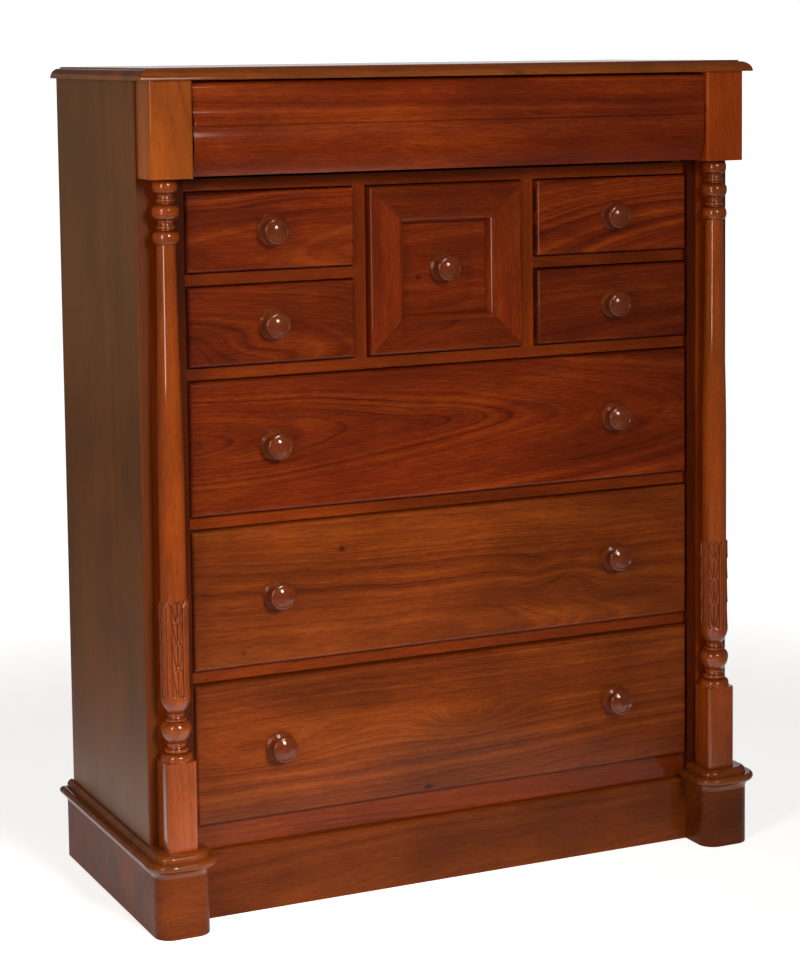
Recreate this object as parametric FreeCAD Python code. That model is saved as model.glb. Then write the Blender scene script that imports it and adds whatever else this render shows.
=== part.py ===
import FreeCAD, Part
import math
import os

V = FreeCAD.Vector

# Block front chest of drawers, all lengths in millimetres.
# The case frame has X across the chest (0 in the middle), Z up from the floor and Y from
# front to back, with Y = 0 on the front plane of the case stiles. save() then moves every
# piece by the same amount, so that the finished chest stands centred on the origin.

# ---- overall ---------------------------------------------------------------------------
CHEST_HEIGHT = 1437.0
CASE_WIDTH = 1128.0
CASE_DEPTH = 423.0

TOLERANCE = 1e-6

# ---- top board -------------------------------------------------------------------------
TOP_THICKNESS = 20.0
TOP_SIDE_OVERHANG = 11.0
TOP_FRONT_OVERHANG = 72.0
TOP_FILLET_HEIGHT = 2.5
TOP_LEDGE = 2.0
TOP_EDGE_LIP = 0.8

# ---- case sides, stiles and back -------------------------------------------------------
SIDE_THICKNESS = 20.0
SIDE_ARRIS_RADIUS = 3.0
STILE_WIDTH = 63.0
STILE_DEPTH = 45.0
BACK_THICKNESS = 12.0
BACK_REBATE = 10.0
BACK_BOARD_COUNT = 6
BACK_LAP = 8.0

# ---- drawer openings, from the top of the case down; the lowest takes what is left ------
FRIEZE_OPENING = 164.0
UPPER_SMALL_OPENING = 137.5
LOWER_SMALL_OPENING = 138.0
LONG_1_OPENING = 231.0
LONG_2_OPENING = 242.0

# ---- rails and dividers ----------------------------------------------------------------
RAIL_THICKNESS = 20.0
RAIL_DEPTH = 60.0
RAIL_SETBACK = 14.0
BOTTOM_RAIL_HEIGHT = 43.0
TENON_LENGTH = 18.0
TENON_SHOULDER = 4.0
TENON_INSET = 8.0
DIVIDER_WIDTH = 23.5
DIVIDER_TENON = 8.0

# ---- inside of the case ----------------------------------------------------------------
RUNNER_REACH = 41.0
RUNNER_HOUSING = 6.0
INNER_RUNNER_WIDTH = 68.0
SMALL_RUNNER_WIDTH = 24.0
GROOVE_DEPTH = 8.0
DUST_PANEL_THICKNESS = 8.0
GUIDE_HEIGHT = 20.0
STOP_WIDTH = 40.0
STOP_DEPTH = 30.0
STOP_HEIGHT = 9.0
STOP_CLEARANCE = 0.3

# ---- drawers ---------------------------------------------------------------------------
FRONT_PROUD = 1.0
FRONT_THICKNESS = 22.0
FRONT_EDGE_RADIUS = 6.5
SIDE_GAP = 2.5
FRONT_GAP_BELOW = 2.5
FRONT_GAP_ABOVE = 2.5
CENTRE_WIDTH = 294.0
BOX_SIDE_THICKNESS = 11.0
BOX_BACK_THICKNESS = 11.0
BOX_TOP_DROP = 3.0
BOX_RUNNING_CLEARANCE = 0.5
BOX_BACK_CLEARANCE = 16.0
BOTTOM_THICKNESS = 7.0
BOTTOM_LIFT = 13.0
BOTTOM_GROOVE = 5.0
MUNTIN_WIDTH = 56.0
MUNTIN_THICKNESS = 13.0
MUNTIN_DROP = 3.0
TAIL_LAP = 6.0
TAIL_PITCH = 52.0
TAIL_SHARE = 0.66
TAIL_SLOPE = 1.0 / 7.0

# ---- centre drawer front ---------------------------------------------------------------
CENTRE_FRAME_THICKNESS = 19.0
CENTRE_BASE_THICKNESS = 18.0
CENTRE_FRAME_WIDTH = 54.5
CENTRE_MOULDING_WIDTH = 12.0
CENTRE_MOULDING_TOP_DROP = 1.0
CENTRE_MOULDING_LIP = 4.0
CENTRE_MOULDING_SWELL = 2.5

# ---- frieze drawer ---------------------------------------------------------------------
FRIEZE_BOTTOM_GAP = 7.0
FRIEZE_TOP_GAP = 3.0
FRIEZE_END_GAP = 2.5
FRIEZE_BACKING = 22.0
FRIEZE_BACKING_CLEARANCE = 0.5
FRIEZE_BEAD_PROJECTION = 62.0
FRIEZE_FACE_PROJECTION = 56.0
FRIEZE_FOOT_PROJECTION = 44.0
FRIEZE_TOP_RADIUS = 10.0
FRIEZE_FACE_HEIGHT = 34.0
FRIEZE_COVE_HEIGHT = 20.0
FRIEZE_COVE_SINK = 1.6
FRIEZE_BEAD_HEIGHT = 7.0
FRIEZE_QUIRK_HEIGHT = 5.0
FRIEZE_OVOLO_SWELL = 8.5
FRIEZE_END_RADIUS = 5.0

# ---- knobs: radii, and heights out from the drawer face ----------------------------------
KNOB_SPREAD = 654.0
KNOB_SPIGOT_RADIUS = 7.0
KNOB_SPIGOT_LENGTH = 14.0
KNOB_ROSETTE_RADIUS = 26.5
KNOB_ROSETTE_RISE = 2.5
KNOB_ROSETTE_LIP_RADIUS = 22.5
KNOB_ROSETTE_LIP_RISE = 3.5
KNOB_NECK_RADIUS = 12.0
KNOB_NECK_RISE = 5.0
KNOB_HEAD_RADIUS = 23.3
KNOB_FLARE_RISE = 9.5
KNOB_RIM_RISE = 8.5
KNOB_RIM_SWELL = 1.0
KNOB_RIM_BULGE = 2.4
KNOB_SHOULDER_RADIUS = 18.5
KNOB_QUIRK_WIDTH = 0.9
KNOB_QUIRK_DEPTH = 1.0
KNOB_DOME_RISE = 5.0

# ---- capital blocks --------------------------------------------------------------------
CAPITAL_WIDTH = 75.0
CAPITAL_OUTER_INSET = 4.5
CAPITAL_PROJECTION = 65.0
CAPITAL_LIFT = 4.5
CAPITAL_ARRIS = 3.5

# ---- column: square block and spigots --------------------------------------------------
COLUMN_INSET = 41.6
COLUMN_BLOCK_SIZE = 54.0
COLUMN_BLOCK_HEIGHT = 150.0
COLUMN_BLOCK_ARRIS = 7.0
COLUMN_SPIGOT_RADIUS = 10.0
COLUMN_SPIGOT_LENGTH = 22.0

# ---- column: turned members from the square block up to the carving ----------------------
RIM_RADIUS = 26.6
RIM_HEIGHT = 2.0
BELL_HEIGHT = 12.0
BELL_SWELL = 3.4
RING_RADIUS = 18.5
RING_HEIGHT = 7.0
RING_SWELL = 1.6
LOW_NECK_RADIUS = 16.0
LOW_COVE_HEIGHT = 6.0
ASTRAGAL_HEIGHT = 2.5
ASTRAGAL_RISE = 1.2
NECK_HEIGHT = 1.5
BALL_RADIUS = 25.9
BALL_LOWER_HEIGHT = 23.0
BALL_UPPER_HEIGHT = 13.5
BALL_SWELL = 2.1
COLLAR_RADIUS = 17.5
COLLAR_HEIGHT = 3.5
COLLAR_COVE_HEIGHT = 5.5
BULB_NECK_RADIUS = 14.2
BULB_HEIGHT = 23.5
BULB_SWELL = 2.1
CARVED_RADIUS = 25.0
CARVED_HEIGHT = 166.0
CARVED_SHOULDER_HEIGHT = 2.0
COVE_SINK = 1.0

# ---- column: shaft, thick below and slender above ----------------------------------------
SHAFT_FOOT_RADIUS = 22.0
SHAFT_UPRIGHT_HEIGHT = 208.0
SHAFT_WAIST_RADIUS = 17.5
SHAFT_WAIST_DROP = 149.5
SHAFT_TOP_RADIUS = 15.9

# ---- column: turned members from the shaft up to the capital -----------------------------
THROAT_HEIGHT = 6.0
TORUS_SEAT_RADIUS = 17.0
TORUS_HEIGHT = 18.5
TORUS_SWELL = 4.5
FILLET_RADIUS = 17.6
FILLET_HEIGHT = 3.0
HIGH_COVE_HEIGHT = 4.5
HIGH_NECK_RADIUS = 12.8
FLARE_RADIUS = 14.8
FLARE_HEIGHT = 5.0
HIGH_BALL_RADIUS = 22.9
HIGH_BALL_LOWER_HEIGHT = 14.0
HIGH_BALL_UPPER_HEIGHT = 10.0
HIGH_BALL_SWELL = 1.9
CAVETTO_HEIGHT = 18.0
ABACUS_RADIUS = 22.6
ABACUS_HEIGHT = 12.5

# ---- plinth ----------------------------------------------------------------------------
PLINTH_OUTSET = 9.5
PLINTH_HEIGHT = 104.0
PLINTH_THICKNESS = 22.0
PLINTH_BACK_OUTSET = 9.5
PLINTH_TONGUE = 10.0
PLINTH_TONGUE_THICKNESS = 8.0
PLINTH_BACK_HEIGHT = 90.0
FRONT_BOARD_RISE = 12.0
FRONT_BOARD_ROUND = 8.0
CORNER_BLOCK_WIDTH = 95.5
CORNER_BLOCK_PROJECTION = 73.0
CORNER_BLOCK_RADIUS = 28.5
GLUE_BLOCK_SIZE = 45.0
GLUE_BLOCK_SHORTFALL = 14.0

# ---- plinth cap moulding: heights above its underside, widths out from the plinth face ----
CAP_HEIGHT = 38.0
CAP_QUARTER_RADIUS = 9.5
CAP_STEP = 2.0
CAP_TORUS_SEAT = 7.5
CAP_TIP = 14.5
CAP_COVE_WIDTH = 9.0
CAP_COVE_HEIGHT = 13.5
CAP_COVE_SINK = 1.5

# ---- places worked out from the sizes above --------------------------------------------
HALF_CASE = CASE_WIDTH / 2.0
FRONT_BOARD_HEIGHT = PLINTH_HEIGHT + FRONT_BOARD_RISE
BOTTOM_RAIL_TOP = FRONT_BOARD_HEIGHT + BOTTOM_RAIL_HEIGHT
TOP_UNDERSIDE = CHEST_HEIGHT - TOP_THICKNESS
FRIEZE_RAIL_TOP = TOP_UNDERSIDE - FRIEZE_OPENING
SMALL_RAIL_TOP = FRIEZE_RAIL_TOP - RAIL_THICKNESS - UPPER_SMALL_OPENING
MIDDLE_RAIL_TOP = SMALL_RAIL_TOP - RAIL_THICKNESS - LOWER_SMALL_OPENING
UPPER_LONG_RAIL_TOP = MIDDLE_RAIL_TOP - RAIL_THICKNESS - LONG_1_OPENING
LOWER_LONG_RAIL_TOP = UPPER_LONG_RAIL_TOP - RAIL_THICKNESS - LONG_2_OPENING
SIDE_INNER = HALF_CASE - SIDE_THICKNESS
STILE_INNER = SIDE_INNER - STILE_WIDTH
BACK_INNER_Y = CASE_DEPTH - BACK_THICKNESS
RAIL_BACK_Y = RAIL_SETBACK + RAIL_DEPTH
RUNNER_INNER = STILE_INNER - RUNNER_REACH
RUNNER_OUTER = SIDE_INNER + RUNNER_HOUSING
WIDE_HALF = STILE_INNER - SIDE_GAP
CENTRE_HALF = CENTRE_WIDTH / 2.0
DIVIDER_INNER = CENTRE_HALF + SIDE_GAP
DIVIDER_OUTER = DIVIDER_INNER + DIVIDER_WIDTH
DIVIDER_AXIS = (DIVIDER_INNER + DIVIDER_OUTER) / 2.0
SMALL_INNER = DIVIDER_OUTER + SIDE_GAP
FRONT_FACE_Y = -FRONT_PROUD
FRONT_BACK_Y = FRONT_FACE_Y + FRONT_THICKNESS
BOX_BACK_Y = BACK_INNER_Y - BOX_BACK_CLEARANCE
CENTRE_BASE_Y = FRONT_FACE_Y + CENTRE_FRAME_THICKNESS
CENTRE_BACK_Y = CENTRE_BASE_Y + CENTRE_BASE_THICKNESS
PLINTH_FACE = HALF_CASE + PLINTH_OUTSET
PLINTH_INNER = PLINTH_FACE - PLINTH_THICKNESS
PLINTH_BACK_Y = CASE_DEPTH + PLINTH_BACK_OUTSET
CAP_TOP = PLINTH_HEIGHT + CAP_HEIGHT
COLUMN_AXIS_X = HALF_CASE - COLUMN_INSET
COLUMN_AXIS_Y = -COLUMN_BLOCK_SIZE / 2.0
LOW_SPIGOT_Z = CAP_TOP - COLUMN_SPIGOT_LENGTH
CAPITAL_OUTER = HALF_CASE - CAPITAL_OUTER_INSET
CAPITAL_INNER = CAPITAL_OUTER - CAPITAL_WIDTH
CAPITAL_HEIGHT = FRIEZE_OPENING - CAPITAL_LIFT
CAPITAL_BOTTOM = TOP_UNDERSIDE - CAPITAL_HEIGHT
FRIEZE_TOP = TOP_UNDERSIDE - FRIEZE_TOP_GAP
FRIEZE_BOTTOM = FRIEZE_RAIL_TOP + FRIEZE_BOTTOM_GAP
FRIEZE_HALF = CAPITAL_INNER - FRIEZE_END_GAP
FRIEZE_BACK_Y = -FRIEZE_BACKING_CLEARANCE
FRIEZE_PLANT_Y = FRIEZE_BACK_Y - FRIEZE_BACKING
BLOCK_INNER = PLINTH_FACE - CORNER_BLOCK_WIDTH
PLINTH_FRONT_TIP_Y = -CORNER_BLOCK_PROJECTION - CAP_TIP
CENTRE_Y = (PLINTH_FRONT_TIP_Y + PLINTH_BACK_Y) / 2.0
QUARTER_SAGITTA = 1.0 - math.sqrt(0.5)


# ---- helpers ---------------------------------------------------------------------------
def slab(x0, x1, y0, y1, z0, z1):
    """Rectangular board between two corners."""
    return Part.makeBox(x1 - x0, y1 - y0, z1 - z0, V(x0, y0, z0))


def mirrored(shape):
    """The same piece on the other side of the chest."""
    return shape.mirror(V(0, 0, 0), V(1, 0, 0))


def both(shape):
    """The right-hand piece and its left-hand twin."""
    return [shape, mirrored(shape)]


def joined(pieces):
    """One solid from touching or overlapping pieces."""
    whole = pieces[0]
    for piece in pieces[1:]:
        whole = whole.fuse(piece)
    return whole.removeSplitter()


def cut_by(piece, others):
    """The piece without what the others take from it, its flat faces left whole."""
    for other in others:
        piece = piece.cut(other)
    return piece.removeSplitter()


def save(node, pieces):
    """Moves a piece, or a group of separate pieces, into the shared frame and writes it."""
    shape = pieces if isinstance(pieces, Part.Shape) else Part.makeCompound(pieces)
    shape = shape.copy()
    shape.translate(V(0, -CENTRE_Y, 0))
    shape.exportStep("parts/" + node + ".step")


def face_of(edges):
    """Plane face inside a closed run of edges."""
    return Part.Face(Part.Wire(edges))


def line(a, b):
    return Part.makeLine(a, b)


def arc(a, middle, b):
    return Part.Arc(a, middle, b).toShape()


def bulged(a, b, outward, swell):
    """Arc from a to b whose middle stands off the chord by swell, towards outward."""
    chord = b.sub(a)
    across = outward.sub(chord * (outward.dot(chord) / chord.dot(chord)))
    across.normalize()
    return arc(a, a.add(chord * 0.5).add(across * swell), b)


def outline(points):
    """Plane face with straight sides through the given corners."""
    return Part.Face(Part.makePolygon(points + points[:1]))


def near(a, b):
    return abs(a - b) < TOLERANCE


def edges_where(shape, test):
    """Edges whose two ends both pass the test."""
    return [e for e in shape.Edges if all(test(v.Point) for v in e.Vertexes)]


class Turning:
    """Half outline of a turned piece, drawn upwards along the Z axis from its lower end."""

    def __init__(self, radius, z):
        self.start = V(0, 0, z)
        self.here = V(radius, 0, z)
        self.edges = [line(self.start, self.here)]

    def go(self, radius, height):
        there = V(radius, 0, self.here.z + height)
        self.edges.append(line(self.here, there))
        self.here = there

    def step(self, radius):
        self.go(radius, 0.0)

    def rise(self, height):
        self.go(self.here.x, height)

    def curve(self, radius, height, swell):
        """Arc to a new radius. A positive swell bulges outwards, a negative one sinks in."""
        there = V(radius, 0, self.here.z + height)
        self.edges.append(bulged(self.here, there, V(1, 0, 0), swell))
        self.here = there

    def bead(self, height, swell):
        self.curve(self.here.x, height, swell)

    def band(self, height, rise):
        """Small square fillet standing out by rise."""
        self.step(self.here.x + rise)
        self.rise(height)
        self.step(self.here.x - rise)

    def solid(self):
        top = V(0, 0, self.here.z)
        if self.here.x > 0:
            self.edges.append(line(self.here, top))
        self.edges.append(line(top, self.start))
        return face_of(self.edges).revolve(V(0, 0, 0), V(0, 0, 1), 360)


# ---- top board -------------------------------------------------------------------------
def moulded_edge(tip, inward, z_low, z_high):
    """Corners of the top board's edge: thin lip, quarter round, ledge and fillet.

    tip is the outermost point of the edge and inward the direction into the board.
    """
    quarter = z_high - z_low - TOP_FILLET_HEIGHT - TOP_EDGE_LIP
    lip_low = V(tip.x, tip.y, z_low)
    lip_high = V(tip.x, tip.y, z_low + TOP_EDGE_LIP)
    crown = V(tip.x, tip.y, z_high - TOP_FILLET_HEIGHT).add(inward * quarter)
    ledge = crown.add(inward * TOP_LEDGE)
    upper = V(ledge.x, ledge.y, z_high)
    return lip_low, lip_high, crown, ledge, upper


def edge_path(points, inward):
    """The moulded edge as four edges, from the underside up to the top face."""
    lip_low, lip_high, crown, ledge, upper = points
    sagitta = (crown.z - lip_high.z) * QUARTER_SAGITTA
    return [line(lip_low, lip_high), bulged(lip_high, crown, inward * -1.0, sagitta),
            line(crown, ledge), line(ledge, upper)]


def top_board():
    """Board with the moulding mitred round the front corners, plain at the back."""
    half = HALF_CASE + TOP_SIDE_OVERHANG
    low = TOP_UNDERSIDE
    high = CHEST_HEIGHT
    into_front = V(0, 1, 0)
    front = moulded_edge(V(-half, -TOP_FRONT_OVERHANG, 0), into_front, low, high)
    back_low = V(-half, CASE_DEPTH, low)
    back_high = V(-half, CASE_DEPTH, high)
    lengthwise = edge_path(front, into_front)
    lengthwise.append(line(front[-1], back_high))
    lengthwise.append(line(back_high, back_low))
    lengthwise.append(line(back_low, front[0]))
    long_solid = face_of(lengthwise).extrude(V(2.0 * half, 0, 0))
    into_left = V(1, 0, 0)
    into_right = V(-1, 0, 0)
    left = moulded_edge(V(-half, -TOP_FRONT_OVERHANG, 0), into_left, low, high)
    right = moulded_edge(V(half, -TOP_FRONT_OVERHANG, 0), into_right, low, high)
    crosswise = edge_path(left, into_left)
    crosswise.append(line(left[-1], right[-1]))
    crosswise.extend(edge_path(right, into_right))
    crosswise.append(line(right[0], left[0]))
    section = Part.Face(Part.Wire(Part.__sortEdges__(crosswise)))
    cross_solid = section.extrude(V(0, TOP_FRONT_OVERHANG + CASE_DEPTH, 0))
    return long_solid.common(cross_solid).removeSplitter()


# ---- rails, dividers, runners and panels -------------------------------------------------
def rail(rail_top, height):
    """Front rail with a tenon at each end and its rear groove still to be cut."""
    low = rail_top - height
    body = slab(-STILE_INNER, STILE_INNER, RAIL_SETBACK, RAIL_BACK_Y, low, rail_top)
    reach = STILE_INNER + TENON_LENGTH
    tenon = slab(-reach, reach, RAIL_SETBACK + TENON_INSET, STILE_DEPTH - TENON_INSET,
                 low + TENON_SHOULDER, rail_top - TENON_SHOULDER)
    return joined([body, tenon])


def small_rail():
    """Right-hand rail between the upper and lower small drawers."""
    low = SMALL_RAIL_TOP - RAIL_THICKNESS
    body = slab(DIVIDER_OUTER, STILE_INNER, RAIL_SETBACK, RAIL_BACK_Y, low, SMALL_RAIL_TOP)
    tenon = slab(DIVIDER_OUTER - DIVIDER_TENON, STILE_INNER + TENON_LENGTH,
                 RAIL_SETBACK + TENON_INSET, STILE_DEPTH - TENON_INSET,
                 low + TENON_SHOULDER, SMALL_RAIL_TOP - TENON_SHOULDER)
    return joined([body, tenon])


def divider():
    """Right-hand upright beside the centre drawer, tenoned into the rails above and below."""
    low = MIDDLE_RAIL_TOP
    high = FRIEZE_RAIL_TOP - RAIL_THICKNESS
    body = slab(DIVIDER_INNER, DIVIDER_OUTER, RAIL_SETBACK, RAIL_BACK_Y, low, high)
    tenon = slab(DIVIDER_INNER + TENON_SHOULDER, DIVIDER_OUTER - TENON_SHOULDER,
                 RAIL_SETBACK + TENON_INSET, STILE_DEPTH - TENON_INSET,
                 low - DIVIDER_TENON, high + DIVIDER_TENON)
    return joined([body, tenon])


def runner(runner_top):
    """Right-hand runner: housed in the case side, with a tongue into the rail's rear groove."""
    low = runner_top - RAIL_THICKNESS
    body = slab(RUNNER_INNER, SIDE_INNER, RAIL_BACK_Y, BACK_INNER_Y, low, runner_top)
    housed = slab(SIDE_INNER, RUNNER_OUTER, RAIL_BACK_Y, BACK_INNER_Y, low, runner_top)
    panel_low = panel_height(runner_top)
    tongue = slab(RUNNER_INNER, STILE_INNER, RAIL_BACK_Y - GROOVE_DEPTH, RAIL_BACK_Y,
                  panel_low, panel_low + DUST_PANEL_THICKNESS)
    return joined([body, housed, tongue])


def inner_runner(runner_top):
    """Right-hand runner under a partition, shared by the drawers on both sides of it."""
    low = runner_top - RAIL_THICKNESS
    inner = DIVIDER_AXIS - INNER_RUNNER_WIDTH / 2.0
    outer = DIVIDER_AXIS + INNER_RUNNER_WIDTH / 2.0
    body = slab(inner, outer, RAIL_BACK_Y, BACK_INNER_Y, low, runner_top)
    panel_low = panel_height(runner_top)
    tongue = slab(inner, outer, RAIL_BACK_Y - GROOVE_DEPTH, RAIL_BACK_Y,
                  panel_low, panel_low + DUST_PANEL_THICKNESS)
    return joined([body, tongue])


def panel_height(rail_top):
    """Underside of the dust panel in the middle of a frame's thickness."""
    return rail_top - (RAIL_THICKNESS + DUST_PANEL_THICKNESS) / 2.0


def dust_panel(rail_top, x0, x1):
    """Thin panel lying in the grooves of the rail in front and the runners beside it."""
    low = panel_height(rail_top)
    return slab(x0 - GROOVE_DEPTH, x1 + GROOVE_DEPTH, RAIL_BACK_Y - GROOVE_DEPTH, BACK_INNER_Y,
                low, low + DUST_PANEL_THICKNESS)


def split_frame_panels(rail_top):
    """The three dust panels of a frame that has inner runners."""
    inner = DIVIDER_AXIS - INNER_RUNNER_WIDTH / 2.0
    outer = DIVIDER_AXIS + INNER_RUNNER_WIDTH / 2.0
    outside = dust_panel(rail_top, outer, RUNNER_INNER)
    return [dust_panel(rail_top, -inner, inner)] + both(outside)


def guide(runner_top):
    """Right-hand strip that fills the space behind the stile and keeps a drawer straight."""
    return slab(STILE_INNER, SIDE_INNER, STILE_DEPTH, BACK_INNER_Y,
                runner_top, runner_top + GUIDE_HEIGHT)


def small_runners():
    """Right-hand pair of runners that carry the upper small drawer."""
    low = SMALL_RAIL_TOP - RAIL_THICKNESS
    outer = slab(RUNNER_INNER, RUNNER_OUTER, RAIL_BACK_Y, BACK_INNER_Y, low, SMALL_RAIL_TOP)
    inner = slab(DIVIDER_OUTER - RUNNER_HOUSING, DIVIDER_OUTER + SMALL_RUNNER_WIDTH,
                 RAIL_BACK_Y, BACK_INNER_Y, low, SMALL_RAIL_TOP)
    return [outer, inner]


def partition(small_inner_runner):
    """Right-hand upright panel behind the divider, with the small runner's housing."""
    panel = slab(DIVIDER_INNER, DIVIDER_OUTER, RAIL_BACK_Y, BACK_INNER_Y,
                 MIDDLE_RAIL_TOP, FRIEZE_RAIL_TOP - RAIL_THICKNESS)
    return cut_by(panel, [small_inner_runner])


def stops(x_middle, rail_top, front_back_y):
    """Two thin blocks on a rail that the back of a closed drawer front meets."""
    pair = []
    start = front_back_y + STOP_CLEARANCE
    for x in x_middle:
        pair.append(slab(x - STOP_WIDTH / 2.0, x + STOP_WIDTH / 2.0, start,
                         start + STOP_DEPTH, rail_top, rail_top + STOP_HEIGHT))
    return pair


# ---- case sides, stiles and back ---------------------------------------------------------
def case_side(housed):
    """Right-hand side: front arris rounded, rebated for the back, housed for the runners."""
    board = slab(SIDE_INNER, HALF_CASE, 0, CASE_DEPTH, PLINTH_HEIGHT, TOP_UNDERSIDE)
    arris = edges_where(board, lambda p: near(p.x, HALF_CASE) and near(p.y, 0))
    board = board.makeFillet(SIDE_ARRIS_RADIUS, arris)
    rebate = slab(SIDE_INNER, SIDE_INNER + BACK_REBATE, BACK_INNER_Y, CASE_DEPTH,
                  PLINTH_HEIGHT, TOP_UNDERSIDE)
    return cut_by(board, [rebate] + housed)


def stile(tenoned):
    """Right-hand front post with the mortises of every rail."""
    post = slab(STILE_INNER, SIDE_INNER, 0, STILE_DEPTH, PLINTH_HEIGHT, TOP_UNDERSIDE)
    return cut_by(post, tenoned)


def back_boards():
    """Upright boards with half laps, set into the rebates of the sides."""
    half = SIDE_INNER + BACK_REBATE
    width = 2.0 * half / BACK_BOARD_COUNT
    middle_y = BACK_INNER_Y + BACK_THICKNESS / 2.0
    boards = []
    for i in range(BACK_BOARD_COUNT):
        x0 = -half + i * width
        x1 = x0 + width
        lap_low = BACK_LAP if i > 0 else 0.0
        lap_high = BACK_LAP if i < BACK_BOARD_COUNT - 1 else 0.0
        inner = slab(x0, x1, BACK_INNER_Y, middle_y, PLINTH_HEIGHT, TOP_UNDERSIDE)
        outer = slab(x0 - lap_low, x1 - lap_high, middle_y, CASE_DEPTH,
                     PLINTH_HEIGHT, TOP_UNDERSIDE)
        boards.append(joined([inner, outer]))
    return boards


# ---- capital blocks and columns ----------------------------------------------------------
def spigot(low):
    """Round tenon of the right-hand column, from low upwards."""
    return Part.makeCylinder(COLUMN_SPIGOT_RADIUS, COLUMN_SPIGOT_LENGTH,
                             V(COLUMN_AXIS_X, COLUMN_AXIS_Y, low))


def capital():
    """Right-hand block under the top, bored for the column's upper spigot."""
    block = slab(CAPITAL_INNER, CAPITAL_OUTER, -CAPITAL_PROJECTION, 0,
                 CAPITAL_BOTTOM, TOP_UNDERSIDE)
    front = edges_where(block, lambda p: near(p.y, -CAPITAL_PROJECTION))
    upright = [e for e in front if abs(e.tangentAt(e.FirstParameter).z) > TOLERANCE]
    lower = edges_where(block, lambda p: near(p.z, CAPITAL_BOTTOM) and p.y < TOLERANCE)
    lower = [e for e in lower if not all(near(v.Point.y, 0) for v in e.Vertexes)]
    block = block.makeFillet(CAPITAL_ARRIS, upright + lower)
    return cut_by(block, [spigot(CAPITAL_BOTTOM)])


def column_foot(t):
    """Rim, bell, ring, ball and neck between the square block and the carved bulb."""
    t.rise(RIM_HEIGHT)
    t.curve(RING_RADIUS, BELL_HEIGHT, BELL_SWELL)
    t.bead(RING_HEIGHT, RING_SWELL)
    t.go(LOW_NECK_RADIUS, LOW_COVE_HEIGHT)
    t.band(ASTRAGAL_HEIGHT, ASTRAGAL_RISE)
    t.rise(NECK_HEIGHT)
    t.curve(BALL_RADIUS, BALL_LOWER_HEIGHT, BALL_SWELL)
    t.curve(COLLAR_RADIUS, BALL_UPPER_HEIGHT, BALL_SWELL)
    t.band(COLLAR_HEIGHT, ASTRAGAL_RISE)
    t.go(BULB_NECK_RADIUS, COLLAR_COVE_HEIGHT)
    t.band(ASTRAGAL_HEIGHT, ASTRAGAL_RISE)
    t.rise(NECK_HEIGHT)


def column_carving(t):
    """Bulb and the swollen stretch that carries the leaves."""
    t.curve(CARVED_RADIUS, BULB_HEIGHT, BULB_SWELL)
    t.rise(CARVED_HEIGHT)
    t.go(SHAFT_FOOT_RADIUS, CARVED_SHOULDER_HEIGHT)


def column_shaft(t, top_z):
    """Upright stretch, then two tapers, the upper one slighter."""
    t.rise(SHAFT_UPRIGHT_HEIGHT)
    t.go(SHAFT_WAIST_RADIUS, top_z - SHAFT_WAIST_DROP - t.here.z)
    t.go(SHAFT_TOP_RADIUS, SHAFT_WAIST_DROP)


def column_head(t):
    """Torus, fillets, ball, cavetto and abacus under the capital block."""
    t.go(TORUS_SEAT_RADIUS, THROAT_HEIGHT)
    t.bead(TORUS_HEIGHT, TORUS_SWELL)
    t.step(FILLET_RADIUS)
    t.rise(FILLET_HEIGHT)
    t.go(HIGH_NECK_RADIUS, HIGH_COVE_HEIGHT)
    t.band(ASTRAGAL_HEIGHT, ASTRAGAL_RISE)
    t.rise(NECK_HEIGHT)
    t.go(FLARE_RADIUS, FLARE_HEIGHT)
    t.curve(HIGH_BALL_RADIUS, HIGH_BALL_LOWER_HEIGHT, HIGH_BALL_SWELL)
    t.curve(FILLET_RADIUS, HIGH_BALL_UPPER_HEIGHT, HIGH_BALL_SWELL)
    t.rise(FILLET_HEIGHT)
    t.go(HIGH_NECK_RADIUS, HIGH_COVE_HEIGHT)
    t.band(ASTRAGAL_HEIGHT, ASTRAGAL_RISE)
    t.curve(ABACUS_RADIUS, CAVETTO_HEIGHT, -COVE_SINK)
    t.rise(ABACUS_HEIGHT)


def head_height():
    """Height of the members that column_head draws."""
    return (THROAT_HEIGHT + TORUS_HEIGHT + 2.0 * FILLET_HEIGHT + 2.0 * HIGH_COVE_HEIGHT
            + 2.0 * ASTRAGAL_HEIGHT + NECK_HEIGHT + FLARE_HEIGHT + HIGH_BALL_LOWER_HEIGHT
            + HIGH_BALL_UPPER_HEIGHT + CAVETTO_HEIGHT + ABACUS_HEIGHT)


def column():
    """Right-hand column: square block, turned members, slender shaft and two spigots."""
    half = COLUMN_BLOCK_SIZE / 2.0
    block_top = CAP_TOP + COLUMN_BLOCK_HEIGHT
    block = slab(-half, half, -half, half, CAP_TOP, block_top)
    arrises = [e for e in block.Edges if abs(e.tangentAt(e.FirstParameter).z) > TOLERANCE]
    block = block.makeFillet(COLUMN_BLOCK_ARRIS, arrises)
    t = Turning(RIM_RADIUS, block_top)
    column_foot(t)
    column_carving(t)
    column_shaft(t, CAPITAL_BOTTOM - head_height())
    column_head(t)
    turned = joined([block, t.solid()])
    turned.translate(V(COLUMN_AXIS_X, COLUMN_AXIS_Y, 0))
    return joined([turned, spigot(LOW_SPIGOT_Z), spigot(CAPITAL_BOTTOM)])


# ---- plinth ----------------------------------------------------------------------------
def corner_block():
    """Right-hand block under the column, its two front corners well rounded."""
    block = slab(BLOCK_INNER, PLINTH_FACE, -CORNER_BLOCK_PROJECTION, 0, 0, PLINTH_HEIGHT)
    upright = edges_where(block, lambda p: near(p.y, -CORNER_BLOCK_PROJECTION))
    upright = [e for e in upright if abs(e.tangentAt(e.FirstParameter).z) > TOLERANCE]
    return block.makeFillet(CORNER_BLOCK_RADIUS, upright)


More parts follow.
